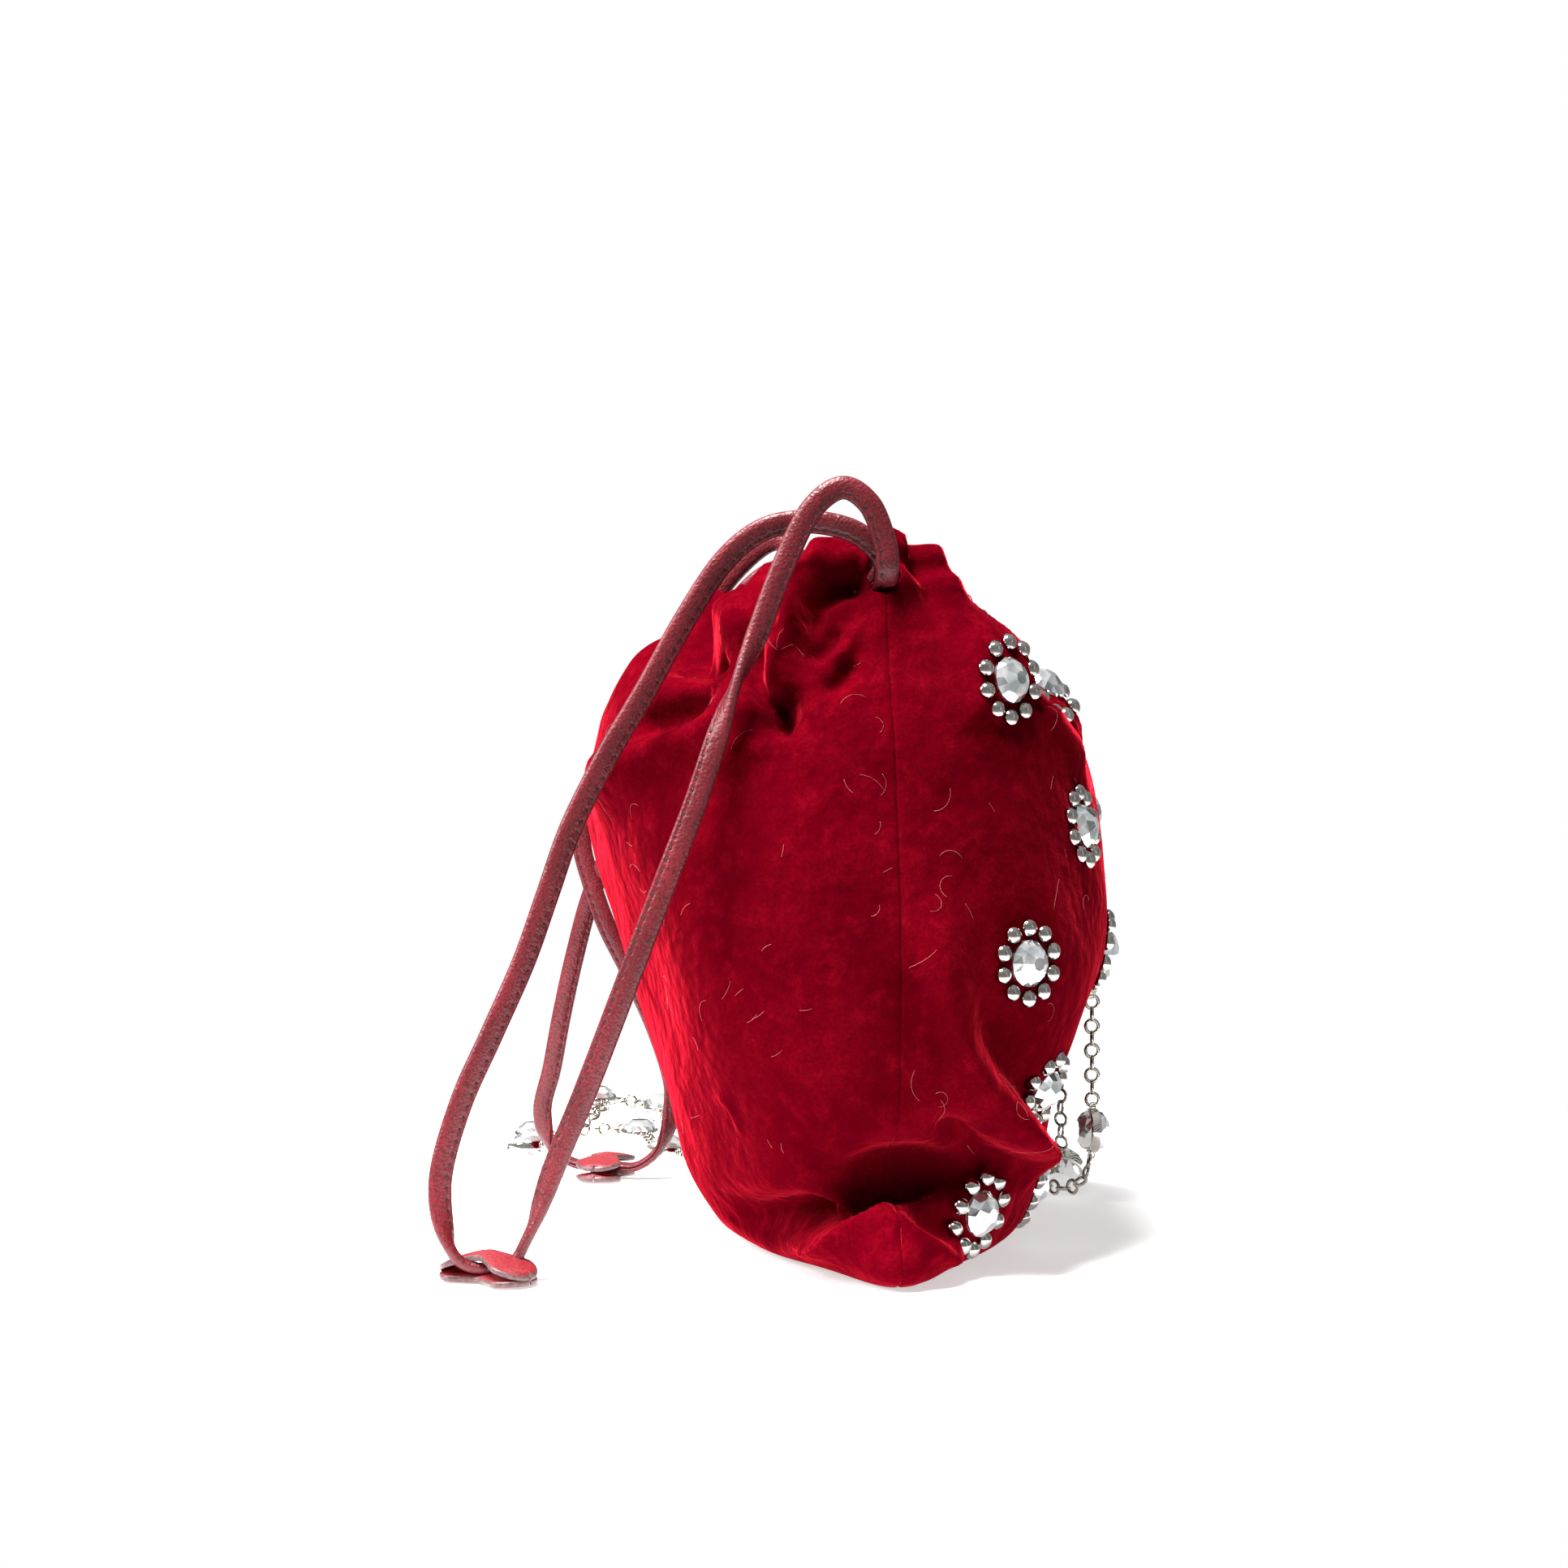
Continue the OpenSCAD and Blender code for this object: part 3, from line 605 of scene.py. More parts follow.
# ---------- Camera and light ----------
def look_along(thing, place, target):
    """Puts a camera or light at a place, turned to the target."""
    thing.location = place
    way = Vector(target) - Vector(place)
    thing.rotation_euler = way.to_track_quat("-Z", "Y").to_euler()
    bpy.context.scene.collection.objects.link(thing)


def soft_light(name, place, size, watts):
    """A rectangular light that looks at the middle of the bag."""
    data = bpy.data.lights.new(name, "AREA")
    data.shape = "RECTANGLE"
    data.size, data.size_y = size
    data.energy = watts
    look_along(bpy.data.objects.new(name, data), place, (0, 0, 0.1))


def view():
    """The bag's near side, level and a little from behind."""
    lens = bpy.data.cameras.new("camera")
    lens.sensor_width = 36
    lens.lens = 65.2
    lens.clip_start = 0.05
    camera = bpy.data.objects.new("camera", lens)
    eye = Vector((-0.7923, 0.1079, 0.125))
    turn = math.radians(6.5)
    look_along(camera, eye, eye + Vector((math.cos(turn), -math.sin(turn), 0)))
    bpy.context.scene.camera = camera


def room():
    """White to the camera, with dark and bright strips for polished things to show."""
    world = bpy.data.worlds.new("soft_white_room")
    world.use_nodes = True
    tree = world.node_tree
    tree.nodes.clear()
    way = add(tree, "ShaderNodeTexCoord").outputs["Generated"]
    high = add(tree, "ShaderNodeSeparateXYZ", {"Vector": way}).outputs[2]
    strips = add(tree, "ShaderNodeTexWave", {"Vector": way, "Scale": 2.4, "Distortion": 2.0},
                 bands_direction="DIAGONAL")
    walls = mix(tree, strips.outputs[1], "#141414", "#e4e4e4")
    walls = shades(tree, high, -0.35, 0.15, "#c4c4c4", walls)
    around = shades(tree, high, 0.55, 0.9, walls, "#d8d8d8")
    path = add(tree, "ShaderNodeLightPath").outputs
    in_cloth, in_metal = 0.1, 0.9
    bright = add(tree, "ShaderNodeMapRange", {"Value": path["Is Glossy Ray"], "To Min": in_cloth,
                                              "To Max": in_metal}).outputs[0]
    around = add(tree, "ShaderNodeBackground", {"Color": around, "Strength": bright}).outputs[0]
    plain = add(tree, "ShaderNodeBackground", {"Color": paint("#ffffff"), "Strength": 1.0}).outputs[0]
    whole = add(tree, "ShaderNodeMixShader", {0: path["Is Camera Ray"], 1: around, 2: plain})
    add(tree, "ShaderNodeOutputWorld", {"Surface": whole.outputs[0]})
    bpy.context.scene.world = world
    bpy.context.scene.view_settings.view_transform = "Standard"


def paper_floor():
    """Bright paper that ends softly in the white room."""
    material, tree, place = new_material("pale_paper")
    away = add(tree, "ShaderNodeVectorMath", {0: place, 1: (0.04, 0.0, 0.0)},
               operation="DISTANCE").outputs["Value"]
    shader = close(tree, Base_Color=paint("#f6f6f6"), Roughness=0.8, Emission_Color=paint("#ffffff"),
                   Emission_Strength=0.56)
    tree.links.new(band(tree, away, 0.38, 0.22), shader.inputs["Alpha"])
    side, z = 1.2, -0.0003
    corners = [(-side, -side, z), (side, -side, z), (side, side, z), (-side, side, z)]
    make_piece("floor", corners, [(0, 1, 2, 3)], material, outside=False)


view()
soft_light("key", (-0.15, 1.15, 0.75), (0.6, 0.6), 18.0)
soft_light("top", (-0.35, 0.35, 1.3), (0.5, 0.5), 64.0)
soft_light("front", (-0.9, -0.9, 0.5), (0.25, 0.9), 0.5)
room()
paper_floor()


# ---------- Leather drawstrings ----------
# Half of the folded strap's section in mm, from its folded edge to its open one, with the dip of the
# stitch line; the other half is its mirror image
STRAP_HALF = [(3.0, 0), (2.85, 0.7), (2.3, 1.2), (1.4, 1.45), (0.3, 1.5), (-0.7, 1.43), (-1.35, 1.3),
              (-1.68, 1.12), (-2.0, 1.2), (-2.5, 1.08), (-2.86, 0.72), (-2.98, 0.42), (-2.75, 0.15),
              (-2.1, 0.04)]
STITCH_AT = 7
STITCH_PITCH = 0.0031
RINGS_PER_STITCH = 4
# Rings of each end that keep the way the strap faces just outside its slit
STRAP_END = 16
# Depth of the hole that each stitch pulls in the leather, and of the dip beside it
HOLE, DIP = 0.0005, 0.0002


def in_slit(piece):
    """Bakes a piece's placement into its mesh."""
    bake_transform(piece)


def loop_face(line):
    """Where a strap's flat side looks: to the bag's side where it hangs, up where it lies."""
    low, high = 0.008, 0.045
    hangs = np.clip((line[:, 2] - low) / (high - low), 0, 1)
    return unit(np.stack([np.sign(line[:, 0]) * hangs, 0 * hangs, 1.02 - hangs], -1))


def strap_axes(line, twist):
    """Across and up vectors at each point of a strap, turned by twist (radians) about its run."""
    heading = unit(np.gradient(line, axis=0))
    across = unit(np.cross(heading, loop_face(line)))
    for k in range(1, len(across)):
        if across[k] @ across[k - 1] < 0:
            across[k] = -across[k]
    across[:STRAP_END], across[-STRAP_END:] = across[STRAP_END], across[-STRAP_END - 1]
    for _ in range(12):
        across[1:-1] = unit(across[:-2] + 2 * across[1:-1] + across[2:])
    across = unit(across - heading * np.sum(across * heading, axis=1, keepdims=True))
    up = np.cross(across, heading)
    c, s = np.cos(twist)[:, None], np.sin(twist)[:, None]
    return heading, across * c + up * s, up * c - across * s


def strap(side, route, twists):
    """A folded and stitched leather strap along a route, with its stitches as a second piece.

    Each twist is where it starts and ends along the strap in mm, and its angle in degrees.
    """
    name = side + "_strap"
    line = smooth_line(np.array(route) * MM, STITCH_PITCH / RINGS_PER_STITCH)
    run = run_of(line) / MM
    twist = np.radians(sum(angle * rise(run, start, end) for start, end, angle in twists)
                       + np.zeros(len(run)))
    heading, across, up = strap_axes(line, twist)
    half = np.array(STRAP_HALF) * MM
    section = np.vstack([half, (half * [1, -1])[:0:-1]])
    rings = line[:, None] + across[:, None] * section[None, :, :1] + up[:, None] * section[None, :, 1:]
    holes = slice(0, None, RINGS_PER_STITCH)
    for j, way in ((STITCH_AT, -1), (len(section) - STITCH_AT, 1)):
        rings[holes, j] += up[holes] * way * HOLE
        for k in (j - 1, j + 1):
            rings[holes, k] += up[holes] * way * DIP
    piece = make_piece(name, *swept(rings), STRAP)
    in_slit(piece)
    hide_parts(side + "_loop")
    middle = slice(RINGS_PER_STITCH, -2, RINGS_PER_STITCH)
    a, b = half[STITCH_AT]
    seats = [line[middle] + across[middle] * a + up[middle] * (b - 0.0003) * way for way in (1, -1)]
    stitch = swept([[(x, r * math.cos(v), r * math.sin(v)) for v in np.arange(6) * np.pi / 3]
                    for x, r in ((-0.00065, 0.0001), (-0.0004, 0.00034), (0.0004, 0.00034),
                                 (0.00065, 0.0001))])
    rows = copies(name + "_stitches", stitch, np.concatenate(seats),
                  np.concatenate([up[middle], -up[middle]]), np.concatenate([heading[middle]] * 2),
                  THREAD, uneven=0.08)
    in_slit(rows)
    return piece, rows, line


def leaf_half_width(x):
    """Half width of a waisted leaf at distance x from its middle, with round ends."""
    x = np.abs(x)
    waist = LEAF_WAIST + (LEAF_END_R - LEAF_WAIST) * rise(x, 0, LEAF_HALF - LEAF_END_R + 0.0025)
    past = np.maximum(0, x - (LEAF_HALF - LEAF_END_R))
    round_end = np.sqrt(np.maximum(1e-10, LEAF_END_R ** 2 - past ** 2))
    return np.minimum(waist, round_end)


def leaf(name, place, turn, z, curl, body, node):
    """One leather leaf of a tab: a pebbled face, a dark sealed edge, and ends that curl by curl."""
    x = LEAF_HALF * 0.999 * np.sin(np.linspace(-np.pi / 2, np.pi / 2, 49))
    v = np.linspace(-1, 1, 17)
    flat = np.stack(np.broadcast_arrays(x[:, None], v[None, :] * leaf_half_width(x)[:, None], 0.0), -1)
    bend = curl * np.abs(x[:, None] / LEAF_HALF) ** 1.4 - 0.0009 * v[None, :] ** 2
    c, s = math.cos(turn), math.sin(turn)
    rotate = np.array([[c, s, 0], [-s, c, 0], [0, 0, 1]])
    layers = []
    for height, inset in ((LEAF_T, 0.94), (LEAF_T * 0.86, 0.985), (LEAF_T * 0.5, 1.0),
                          (LEAF_T * 0.14, 0.985), (0, 0.94)):
        sheet = flat * [1, 1, 0]
        sheet[..., :2] *= 1 - (1 - inset) * np.array([0.55, 1.0])
        sheet[..., 2] = height + bend
        layers.append(sheet)

    def border(g):
        return np.concatenate([g[:-1, 0], g[-1, :-1], g[:0:-1, -1], g[0, :0:-1]])

    number = np.arange(flat.shape[0] * flat.shape[1]).reshape(flat.shape[:2])
    verts = [layers[0].reshape(-1, 3)]
    faces = strip_faces(number)
    edge = [np.array(border(number))]
    used = number.size
    for sheet in layers[1:-1]:
        verts.append(border(sheet))
        edge.append(used + np.arange(len(verts[-1])))
        used += len(verts[-1])
    verts.append(layers[-1].reshape(-1, 3))
    faces += strip_faces(number + used)
    edge.append(np.array(border(number)) + used)
    side_faces = strip_faces(np.stack(edge), closed=True)
    points = np.concatenate(verts) @ rotate + np.array([place[0], place[1], z])
    piece = make_piece(name, points, faces + side_faces, TAB)
    piece.data.materials.append(EDGE)
    for polygon in piece.data.polygons[len(faces):]:
        polygon.material_index = 1
    return stand_in(piece, body, "strap_leather", node)


def drawstring(side, route, place, turn, curl, twists):
    """A drawstring loop with its two-leaved tab, a cord that goes back into the bag.

    The tab lies at place, turned by degrees. The ends of its upper leaf are curl above its middle.
    """
    body = side + "_drawstring"
    piece, rows, line = strap(side, route, twists)
    turn = math.radians(turn)
    lower = leaf(side + "_leaf_lower", place, turn, 0.001, 0.0003, body, side + "_tab_lower")
    upper = leaf(side + "_leaf_upper", place, turn, UPPER_LEAF_Z + 0.001, curl, body,
                 side + "_tab_upper")


drawstring("near", NEAR_ROUTE, (-0.075, 0.101), 48, -0.0042, [(70, 120, 170)])
drawstring("far", FAR_ROUTE, (0.111, 0.062), -20, -0.0022, [])


# ---------- Chain strap ----------
def chain_face(line, heading):
    """Where the crystals face: up where the chain lies, and away from the bag where it hangs."""
    hangs = rise(np.abs(heading[:, 2]), 0.45, 0.8) * rise(line[:, 2], 0.008, 0.016)
    inner = hangs * rise(line[:, 0], 0.036, 0.040)
    return unit(np.stack([-0.9 * inner, -hangs, 1.02 - hangs], -1))


def ring_solid(major, wire, sides, tube, part=1.0):
    """A wire ring in its own XY plane, or part of one."""
    whole = part >= 1
    a = np.linspace(0, 2 * np.pi * part, sides, endpoint=not whole)
    b = np.arange(tube) * 2 * np.pi / tube
    rings = np.stack([(major + wire * np.cos(b)[None]) * np.cos(a)[:, None],
                      (major + wire * np.cos(b)[None]) * np.sin(a)[:, None],
                      np.broadcast_to(wire * np.sin(b)[None], (sides, tube))], -1)
    verts, faces = swept(rings, closed_ends=not whole)
    if whole:
        index = np.arange(sides * tube).reshape(sides, tube)
        faces += strip_faces(np.vstack([index[-1:], index[:1]]), closed=True)
    return verts, faces


def chain_strap():
    """A cable chain with banded crystals in it, a cord that goes back into the bag."""
    line = smooth_line(np.array(CHAIN_ROUTE) * MM, 0.001)
    run = run_of(line)
    heading = unit(at_runs(np.gradient(line, axis=0), run, run))
    face = chain_face(line, heading)
    across = unit(np.cross(heading, face))
    away = np.cross(across, heading)
    gems = np.arange(FIRST_GEM, run[-1] - FIRST_GEM, GEM_PITCH)
    stops = [(0, gems[0] - BEZEL_R)] + [(a + BEZEL_R, b - BEZEL_R) for a, b in zip(gems, gems[1:])]
    stops.append((gems[-1] + BEZEL_R, run[-1]))
    lug_out, link_step = 0.0007, 0.00355
    centre_r = (LINK_D - LINK_WIRE) / 2
    places, ways = [], []
    for k, (start, end) in enumerate(stops):
        first = centre_r + (lug_out if k else 0.0)
        last = centre_r + (lug_out if k < len(stops) - 1 else 0.0)
        count = max(1, round((end - start - first - last) / link_step) + 1)
        spots = np.linspace(start + first, end - last, count) if count > 1 else [(start + end) / 2]
        places += list(spots)
        ways += [(j + k) % 2 for j in range(count)]
    places, ways = np.array(places), np.array(ways)[:, None]

    def at(values):
        return at_runs(values, run, places)

    link = ring_solid(centre_r, LINK_WIRE / 2, 14, 5)
    lean = unit(at(away) * (1 - ways) + at(across) * ways + 0.18 * at(across) * (1 - ways))
    links = copies("chain_cable", link, at(line), lean, unit(at(heading)), SILVER)
    stand_in(links, "bag", "chain_metal", "chain_links")
    spots = at_runs(line, run, gems)
    n, t = unit(at_runs(away, run, gems)), unit(at_runs(heading, run, gems))
    wall = [(BEZEL_R - 0.0008, 0.0015), (BEZEL_R - 0.0004, 0.00155), (BEZEL_R - 0.0001, 0.0014),
            (BEZEL_R, 0.001)]
    rim_rings = lathe(wall + [(r, -z) for r, z in wall[::-1]], 48)
    verts, faces = swept(rim_rings + [rim_rings[0]], closed_ends=False)
    lug, upright = ring_solid(0.001, 0.00032, 10, 6), axes_from((0, 1, 0), (1, 0, 0))
    lugs = [placed(lug, upright, np.array([way * (BEZEL_R + lug_out), 0, 0])) for way in (1, -1)]
    bezel = combined([(verts, faces)] + lugs)
    bands = copies("chain_bands", bezel, spots, n, t, BAND)
    stand_in(bands, "bag", "chain_band", "chain_bezels")
    top = cut_stone(BEZEL_R - 0.0006, GEM_T / 2, domed=1.0)
    bottom = placed(top, np.diag([1.0, -1.0, -1.0]), np.zeros(3))
    stone = combined([top, bottom])
    stones = copies("chain_stones", stone, spots, n, t, CHAIN_GLASS, smooth=False)
    stand_in(stones, "bag", "chain_crystal", "chain_crystals")


chain_strap()


# ---------- Bag surface ----------
# Folds near a side seam, in mm: distance round from the seam (front positive) and height.
# Each is [points, height (a valley's is negative), width at its start and end, roundness, lean]
NEAR_FOLDS = [
    [[(-3, 180), (4, 182), (9, 180), (13, 181), (22, 178)], -3, (2.5, 2.5)],
    [[(-14, 175), (-5, 177), (4, 178), (13, 178), (25, 175)], 2.5, (4, 4)],
    [[(0, 178), (-8, 177), (-14, 175), (-18, 172), (-19, 168), (-22, 161)], -8, (3.5, 3.5)],
    [[(-23, 183), (-25, 174), (-24, 166), (-21, 160)], 5, (3.5, 3.5)],
    [[(-12, 166), (-16, 161), (-21, 156)], -4, (2.5, 2.5)],
    [[(-9, 158), (-13, 151), (-18, 149)], -3, (2.5, 2.5)],
    [[(-6, 168), (-11, 160), (-16, 155)], 2, (2.5, 2.5)],
    [[(-36, 168), (-36, 158), (-35, 150), (-30, 143)], -7, (3.5, 3.5)],
    [[(-28, 166), (-29, 156), (-27, 148)], 2.5, (4, 4)],
    [[(-29, 149), (-28, 143), (-31, 138)], -9, (4, 4)],
    [[(-34, 151), (-49, 142), (-57, 138), (-69, 135), (-93, 128), (-110, 122)], 7, (6.5, 6.5)],
    [[(-45, 150), (-57, 145), (-70, 142), (-88, 137)], -10, (6, 6)],
    [[(-28, 139), (-33, 135), (-42, 132), (-49, 127)], 2.5, (3, 4)],
    [[(-80, 163), (-66, 162), (-52, 160), (-42, 158)], -12, (7, 6)],
    [[(-85, 172), (-65, 170), (-50, 168), (-40, 167)], 4, (5, 5)],
    [[(23, 168), (33, 159), (45, 148), (58, 139), (70, 132), (78, 125)], 7, (8, 8)],
    [[(52, 152), (62, 145), (72, 138), (82, 128)], -6, (7, 7)],
    [[(75, 158), (85, 148), (92, 135)], 4, (9, 9)],
    [[(60, 158), (75, 160), (95, 162)], -4, (8, 8)],
    [[(21, 164), (23, 154), (24, 146), (25, 138)], 4, (6, 6)],
    [[(46, 160), (47, 152), (47, 142)], -3.5, (8, 8)],
    [[(22, 42), (32, 38), (42, 34), (56, 31)], 9, (9, 9)],
    [[(-72, 9), (-60, 9), (-48, 10), (-34, 12), (-20, 17)], -7, (4, 4), 2.0, 1.5],
    [[(6, 98), (8, 92), (10, 80), (12, 70), (18, 58),
      (26, 47), (35, 39), (51, 25)], 7, (6, 6), 2.0, 1.3],
    [[(18, 75), (24, 62), (33, 52), (45, 42), (58, 32)], -8, (9, 9)],
    [[(8, 40), (13, 39), (19, 36), (28, 31), (41, 26)], -7, (4.5, 4.5)],
    [[(10, 33), (20, 30), (30, 26)], 2, (3, 3)],
    [[(-50, 10), (-40, 11), (-31, 13), (-18, 17), (-5, 24), (1, 25), (12, 26), (24, 27)], -13,
     (3.9, 3.9), 2.0, 1.5],
    [[(-47, 6), (-31, 9), (-18, 13), (-4, 20.5)], 4.5, (3.5, 3.5)],
    [[(-4, 21), (-3, 18), (1, 15), (11, 10), (19, 7), (28, 4)], 4.5, (3, 3)],
    [[(3, 20), (12, 15), (22, 12)], -4, (5, 5)],
    [[(-59, 45), (-52, 42), (-47, 35)], 1.0, (1.5, 1.5)],
    [[(5, 190), (5, 184), (3, 178)], 1.5, (2, 2)],
    [[(-7, 188), (-8, 182), (-5, 177)], 1.5, (2, 2)]]
# The far side has the same sorts of folds, the other way round and less deep
FAR_FOLDS = [[[(-s, z - 1) for s, z in points], height * 0.8, *rest]
             for points, height, *rest in NEAR_FOLDS[1:7] + NEAR_FOLDS[9:12] + NEAR_FOLDS[22:26]]
PLEATS = 17


def ruffles(turn, t):
    """Height in mm of the mouth's pleats, at part turn (-0.5 to 0.5) of the way round."""
    a = 2 * np.pi * turn
    phase = PLEATS * a + 0.9 * np.sin(2 * a + 0.6) + 0.7 * np.sin(3 * a + 2.0) + 0.5 * np.sin(7 * a)
    size = 1.0 + 0.4 * np.sin(4 * a + 1.3) + 0.25 * np.sin(9 * a)
    deep = np.sin(phase) + 0.3 * np.sin(2 * phase + 0.8 * np.sin(2 * a))
    start = 0.80 + 0.04 * np.sin(5 * a + 0.7) + 0.03 * np.sin(11 * a)
    return rise(t, start, 0.96) * (1.6 + 2.0 * size * deep)


def sway(place):
    """Height in mm of the slack of the cloth between its folds."""
    x, y, z = (place[..., k] / MM for k in range(3))
    return (0.9 * np.sin(x / 21 + y / 33 + 1.0) * np.sin(z / 24 + y / 40)
            + 0.7 * np.sin(x / 12 - z / 17 + y / 15 + 2.1) + 0.3 * np.sin(z / 7.5 + x / 9 - y / 8))


def soft_pow(v):
    """Turns a circle's cosine or sine into that of the bag's fuller outline."""
    return np.sign(v) * np.abs(v) ** SQUARENESS


def plain_surface(phi, t):
    """The bag's outer surface before its folds, at angle phi and part t of the height."""
    c, s = np.cos(phi), np.sin(phi)
    # The lower corners stand out as ears, with a pinched dent above each
    corner = MM * (24 * bump(t, 0, 0.07) * np.abs(c) ** 16 - 8 * bump(t, 0.15, 0.04) * np.abs(c) ** 8)
    depth = np.where(s < 0, through(t, FRONT_STEPS), through(t, BACK_STEPS))
    z = t * (BAG_H - RIM_SAG * s * s)
    turn = 0.005  # radius that the cloth turns under the base at
    hem = turn - np.sqrt(np.maximum(0, turn ** 2 - np.maximum(0, turn - z) ** 2))
    x = soft_pow(c) * (MM * through(t, WIDTH_STEPS) - hem) + np.sign(c) * corner
    y = soft_pow(s) * (MM * depth - hem)
    return np.stack([x, y, z], -1)


def measured(lines):
    """Distance along each row of a grid of points."""
    gaps = np.linalg.norm(np.diff(lines, axis=1), axis=2)
    return np.concatenate([np.zeros((len(lines), 1)), np.cumsum(gaps, axis=1)], axis=1)


def grid_normals(points, outward):
    """Unit normals of a grid of points, turned to the side that outward points to."""
    n = unit(np.cross(np.gradient(points, axis=0), np.gradient(points, axis=1)))
    return n * np.sign(np.sum(n * outward, axis=-1, keepdims=True))


def fold_height(s, z, points, height, wide, power=2.0, lean=1.0):
    """How far in mm one fold lifts the cloth at s, z (mm).

    The fold follows points, as wide as its two widths at its start and end. Power over 2 squares its
    crest, and lean over 1 widens its left-hand side.
    """
    line = smooth_line([(a, b, 0) for a, b in points], 1.5)[:, :2]
    run = run_of(line)
    reach = 4 * max(wide)
    near = ((s > line[:, 0].min() - reach) & (s < line[:, 0].max() + reach)
            & (z > line[:, 1].min() - reach) & (z < line[:, 1].max() + reach))
    lift = np.zeros_like(s)
    if not near.any():
        return lift
    place = np.stack([s[near], z[near]], -1)
    apart = place[:, None, :] - line[None, :, :]
    gap = np.linalg.norm(apart, axis=2)
    k = gap.argmin(axis=1)
    gap = gap[np.arange(len(k)), k]
    heading = np.gradient(line, axis=0)
    offset = place - line[k]
    left = heading[k, 0] * offset[:, 1] - heading[k, 1] * offset[:, 0] > 0
    part = run[k] / run[-1]
    width = (wide[0] + (wide[1] - wide[0]) * part) * np.where(left, lean, 1 / lean)
    taper = rise(part, -0.12, 0.3) * (1 - rise(part, 0.7, 1.12))
    lift[near] = height * taper * np.exp(-((gap / width) ** power))
    return lift


class Panel:
    """One velvet panel: a grid from the base to the rim, and from the near seam to the far one."""

    rows = 176
    cols = 232

    def __init__(self, side):
        """Side is 1 for the front and -1 for the back."""
        self.side = side
        t = np.linspace(0, 1, self.rows) ** 0.96
        fine = np.linspace(0, np.pi, 721)
        phi_fine = np.pi + side * fine
        lines = plain_surface(phi_fine[None, :], t[:, None])
        run = measured(lines)
        z_seam = t * BAG_H
        opening = SLIT_HALF * np.sqrt(np.clip(1 - ((z_seam - SLIT_Z) / 0.0075) ** 2, 0, 1))
        start = VELVET_T / 2.3 + opening
        # Columns stand closer together near the two seams
        w = np.linspace(0, 1, self.cols)
        w = w - 0.09 * np.sin(2 * np.pi * w) / (2 * np.pi) * 1.6
        self.angle = np.empty((self.rows, self.cols))
        self.s = np.empty_like(self.angle)
        for i in range(self.rows):
            self.s[i] = start[i] + w * (run[i, -1] - 2 * start[i])
            self.angle[i] = np.interp(self.s[i], run[i], fine)
        self.length = run[:, -1:]
        self.t = np.broadcast_to(t[:, None], self.s.shape)
        self.plain = plain_surface(np.pi + side * self.angle, self.t)
        outward = self.plain * [1, 1, 0]
        self.plain_normal = grid_normals(self.plain, outward)
        self.points = self.plain + self.plain_normal * MM * self.lift()[..., None]
        self.normal = grid_normals(self.points, self.plain_normal)
        self.tangents()

    def lift(self):
        """Height in mm of all folds over the plain surface."""
        z = self.plain[..., 2] / MM
        near = self.side * self.s / MM
        far = self.side * (self.length - self.s) / MM
        turn = self.side * self.s / (2 * self.length)
        total = ruffles(turn, self.t) + sway(self.plain)
        for fold in NEAR_FOLDS:
            total += fold_height(near, z, *fold)
        for points, *rest in FAR_FOLDS:
            total += fold_height(far, z, points, *rest)
        return total * rise(z, 0.5, 7)

    def tangents(self):
        """How a point moves with s and with z, to place things on the cloth."""
        z = self.plain[..., 2]
        (pi, pj), (si, sj), (zi, zj) = (np.gradient(values, axis=(0, 1)) for values in
                                        (self.points, self.s[..., None], z[..., None]))
        det = si * zj - sj * zi
        self.per_s = (pi * zj - pj * zi) / det
        self.per_z = (pj * si - pi * sj) / det

    def at(self, s, z):
        """Point on the folded cloth at distance s from the near seam and height z."""
        gap = np.hypot(self.s - s, self.plain[..., 2] - z)
        k = np.unravel_index(gap.argmin(), gap.shape)
        return (self.points[k] + self.per_s[k] * (s - self.s[k])
                + self.per_z[k] * (z - self.plain[..., 2][k]))

    def seat(self, s, z, reach):
        """Middle and normal of a stiff piece that rests on the cloth within reach of s, z."""
        angles = np.linspace(0, 2 * np.pi, 8, endpoint=False)
        ring = [self.at(s + reach * math.cos(a), z + reach * math.sin(a)) for a in angles]
        middle = (np.mean(ring, axis=0) + self.at(s, z)) / 2
        across = sum(r * math.cos(a) for r, a in zip(ring, angles))
        up = sum(r * math.sin(a) for r, a in zip(ring, angles))
        n = unit(np.cross(across, up))
        return middle, n * np.sign(n @ (middle * [1, 1, 0]))

    def place_of(self, degrees, z):
        """Distance from the near seam of a point at that angle and height."""
        gap = np.abs(self.angle - math.radians(degrees)) * 0.07 + np.abs(self.plain[..., 2] - z)
        return float(self.s[np.unravel_index(gap.argmin(), gap.shape)])


FRONT, BACK = Panel(1), Panel(-1)


def velvet_panel(name, panel, node):
    """The panel's grid as cloth with thickness."""
    inner = panel.points - panel.normal * VELVET_T
    cloth = np.stack([panel.side * panel.s, panel.plain[..., 2]], -1)
    piece = cloth_shell(name, panel.points, inner, VELVET, cloth)
    return stand_in(piece, "bag", "velvet", node)


def round_bag(grid_front, grid_back):
    """One closed grid round the bag from a grid of each panel."""
    return np.concatenate([grid_front, grid_back[:, ::-1]], axis=1)


def plate(name, outline, low, high, material):
    """A flat piece with rounded edges on a closed outline."""
    middle = outline.mean(axis=0)
    rings = []
    for z, inset in ((low, 0.0005), (low + 0.0003, 0.0001), (high - 0.0003, 0.0001), (high, 0.0005)):
        ring = outline - unit(outline - middle) * inset
        rings.append(np.column_stack([ring, np.full(len(ring), z)]))
    return make_piece(name, *swept(rings), material, smooth=False, uv=np.tile(outline, (4, 1)))


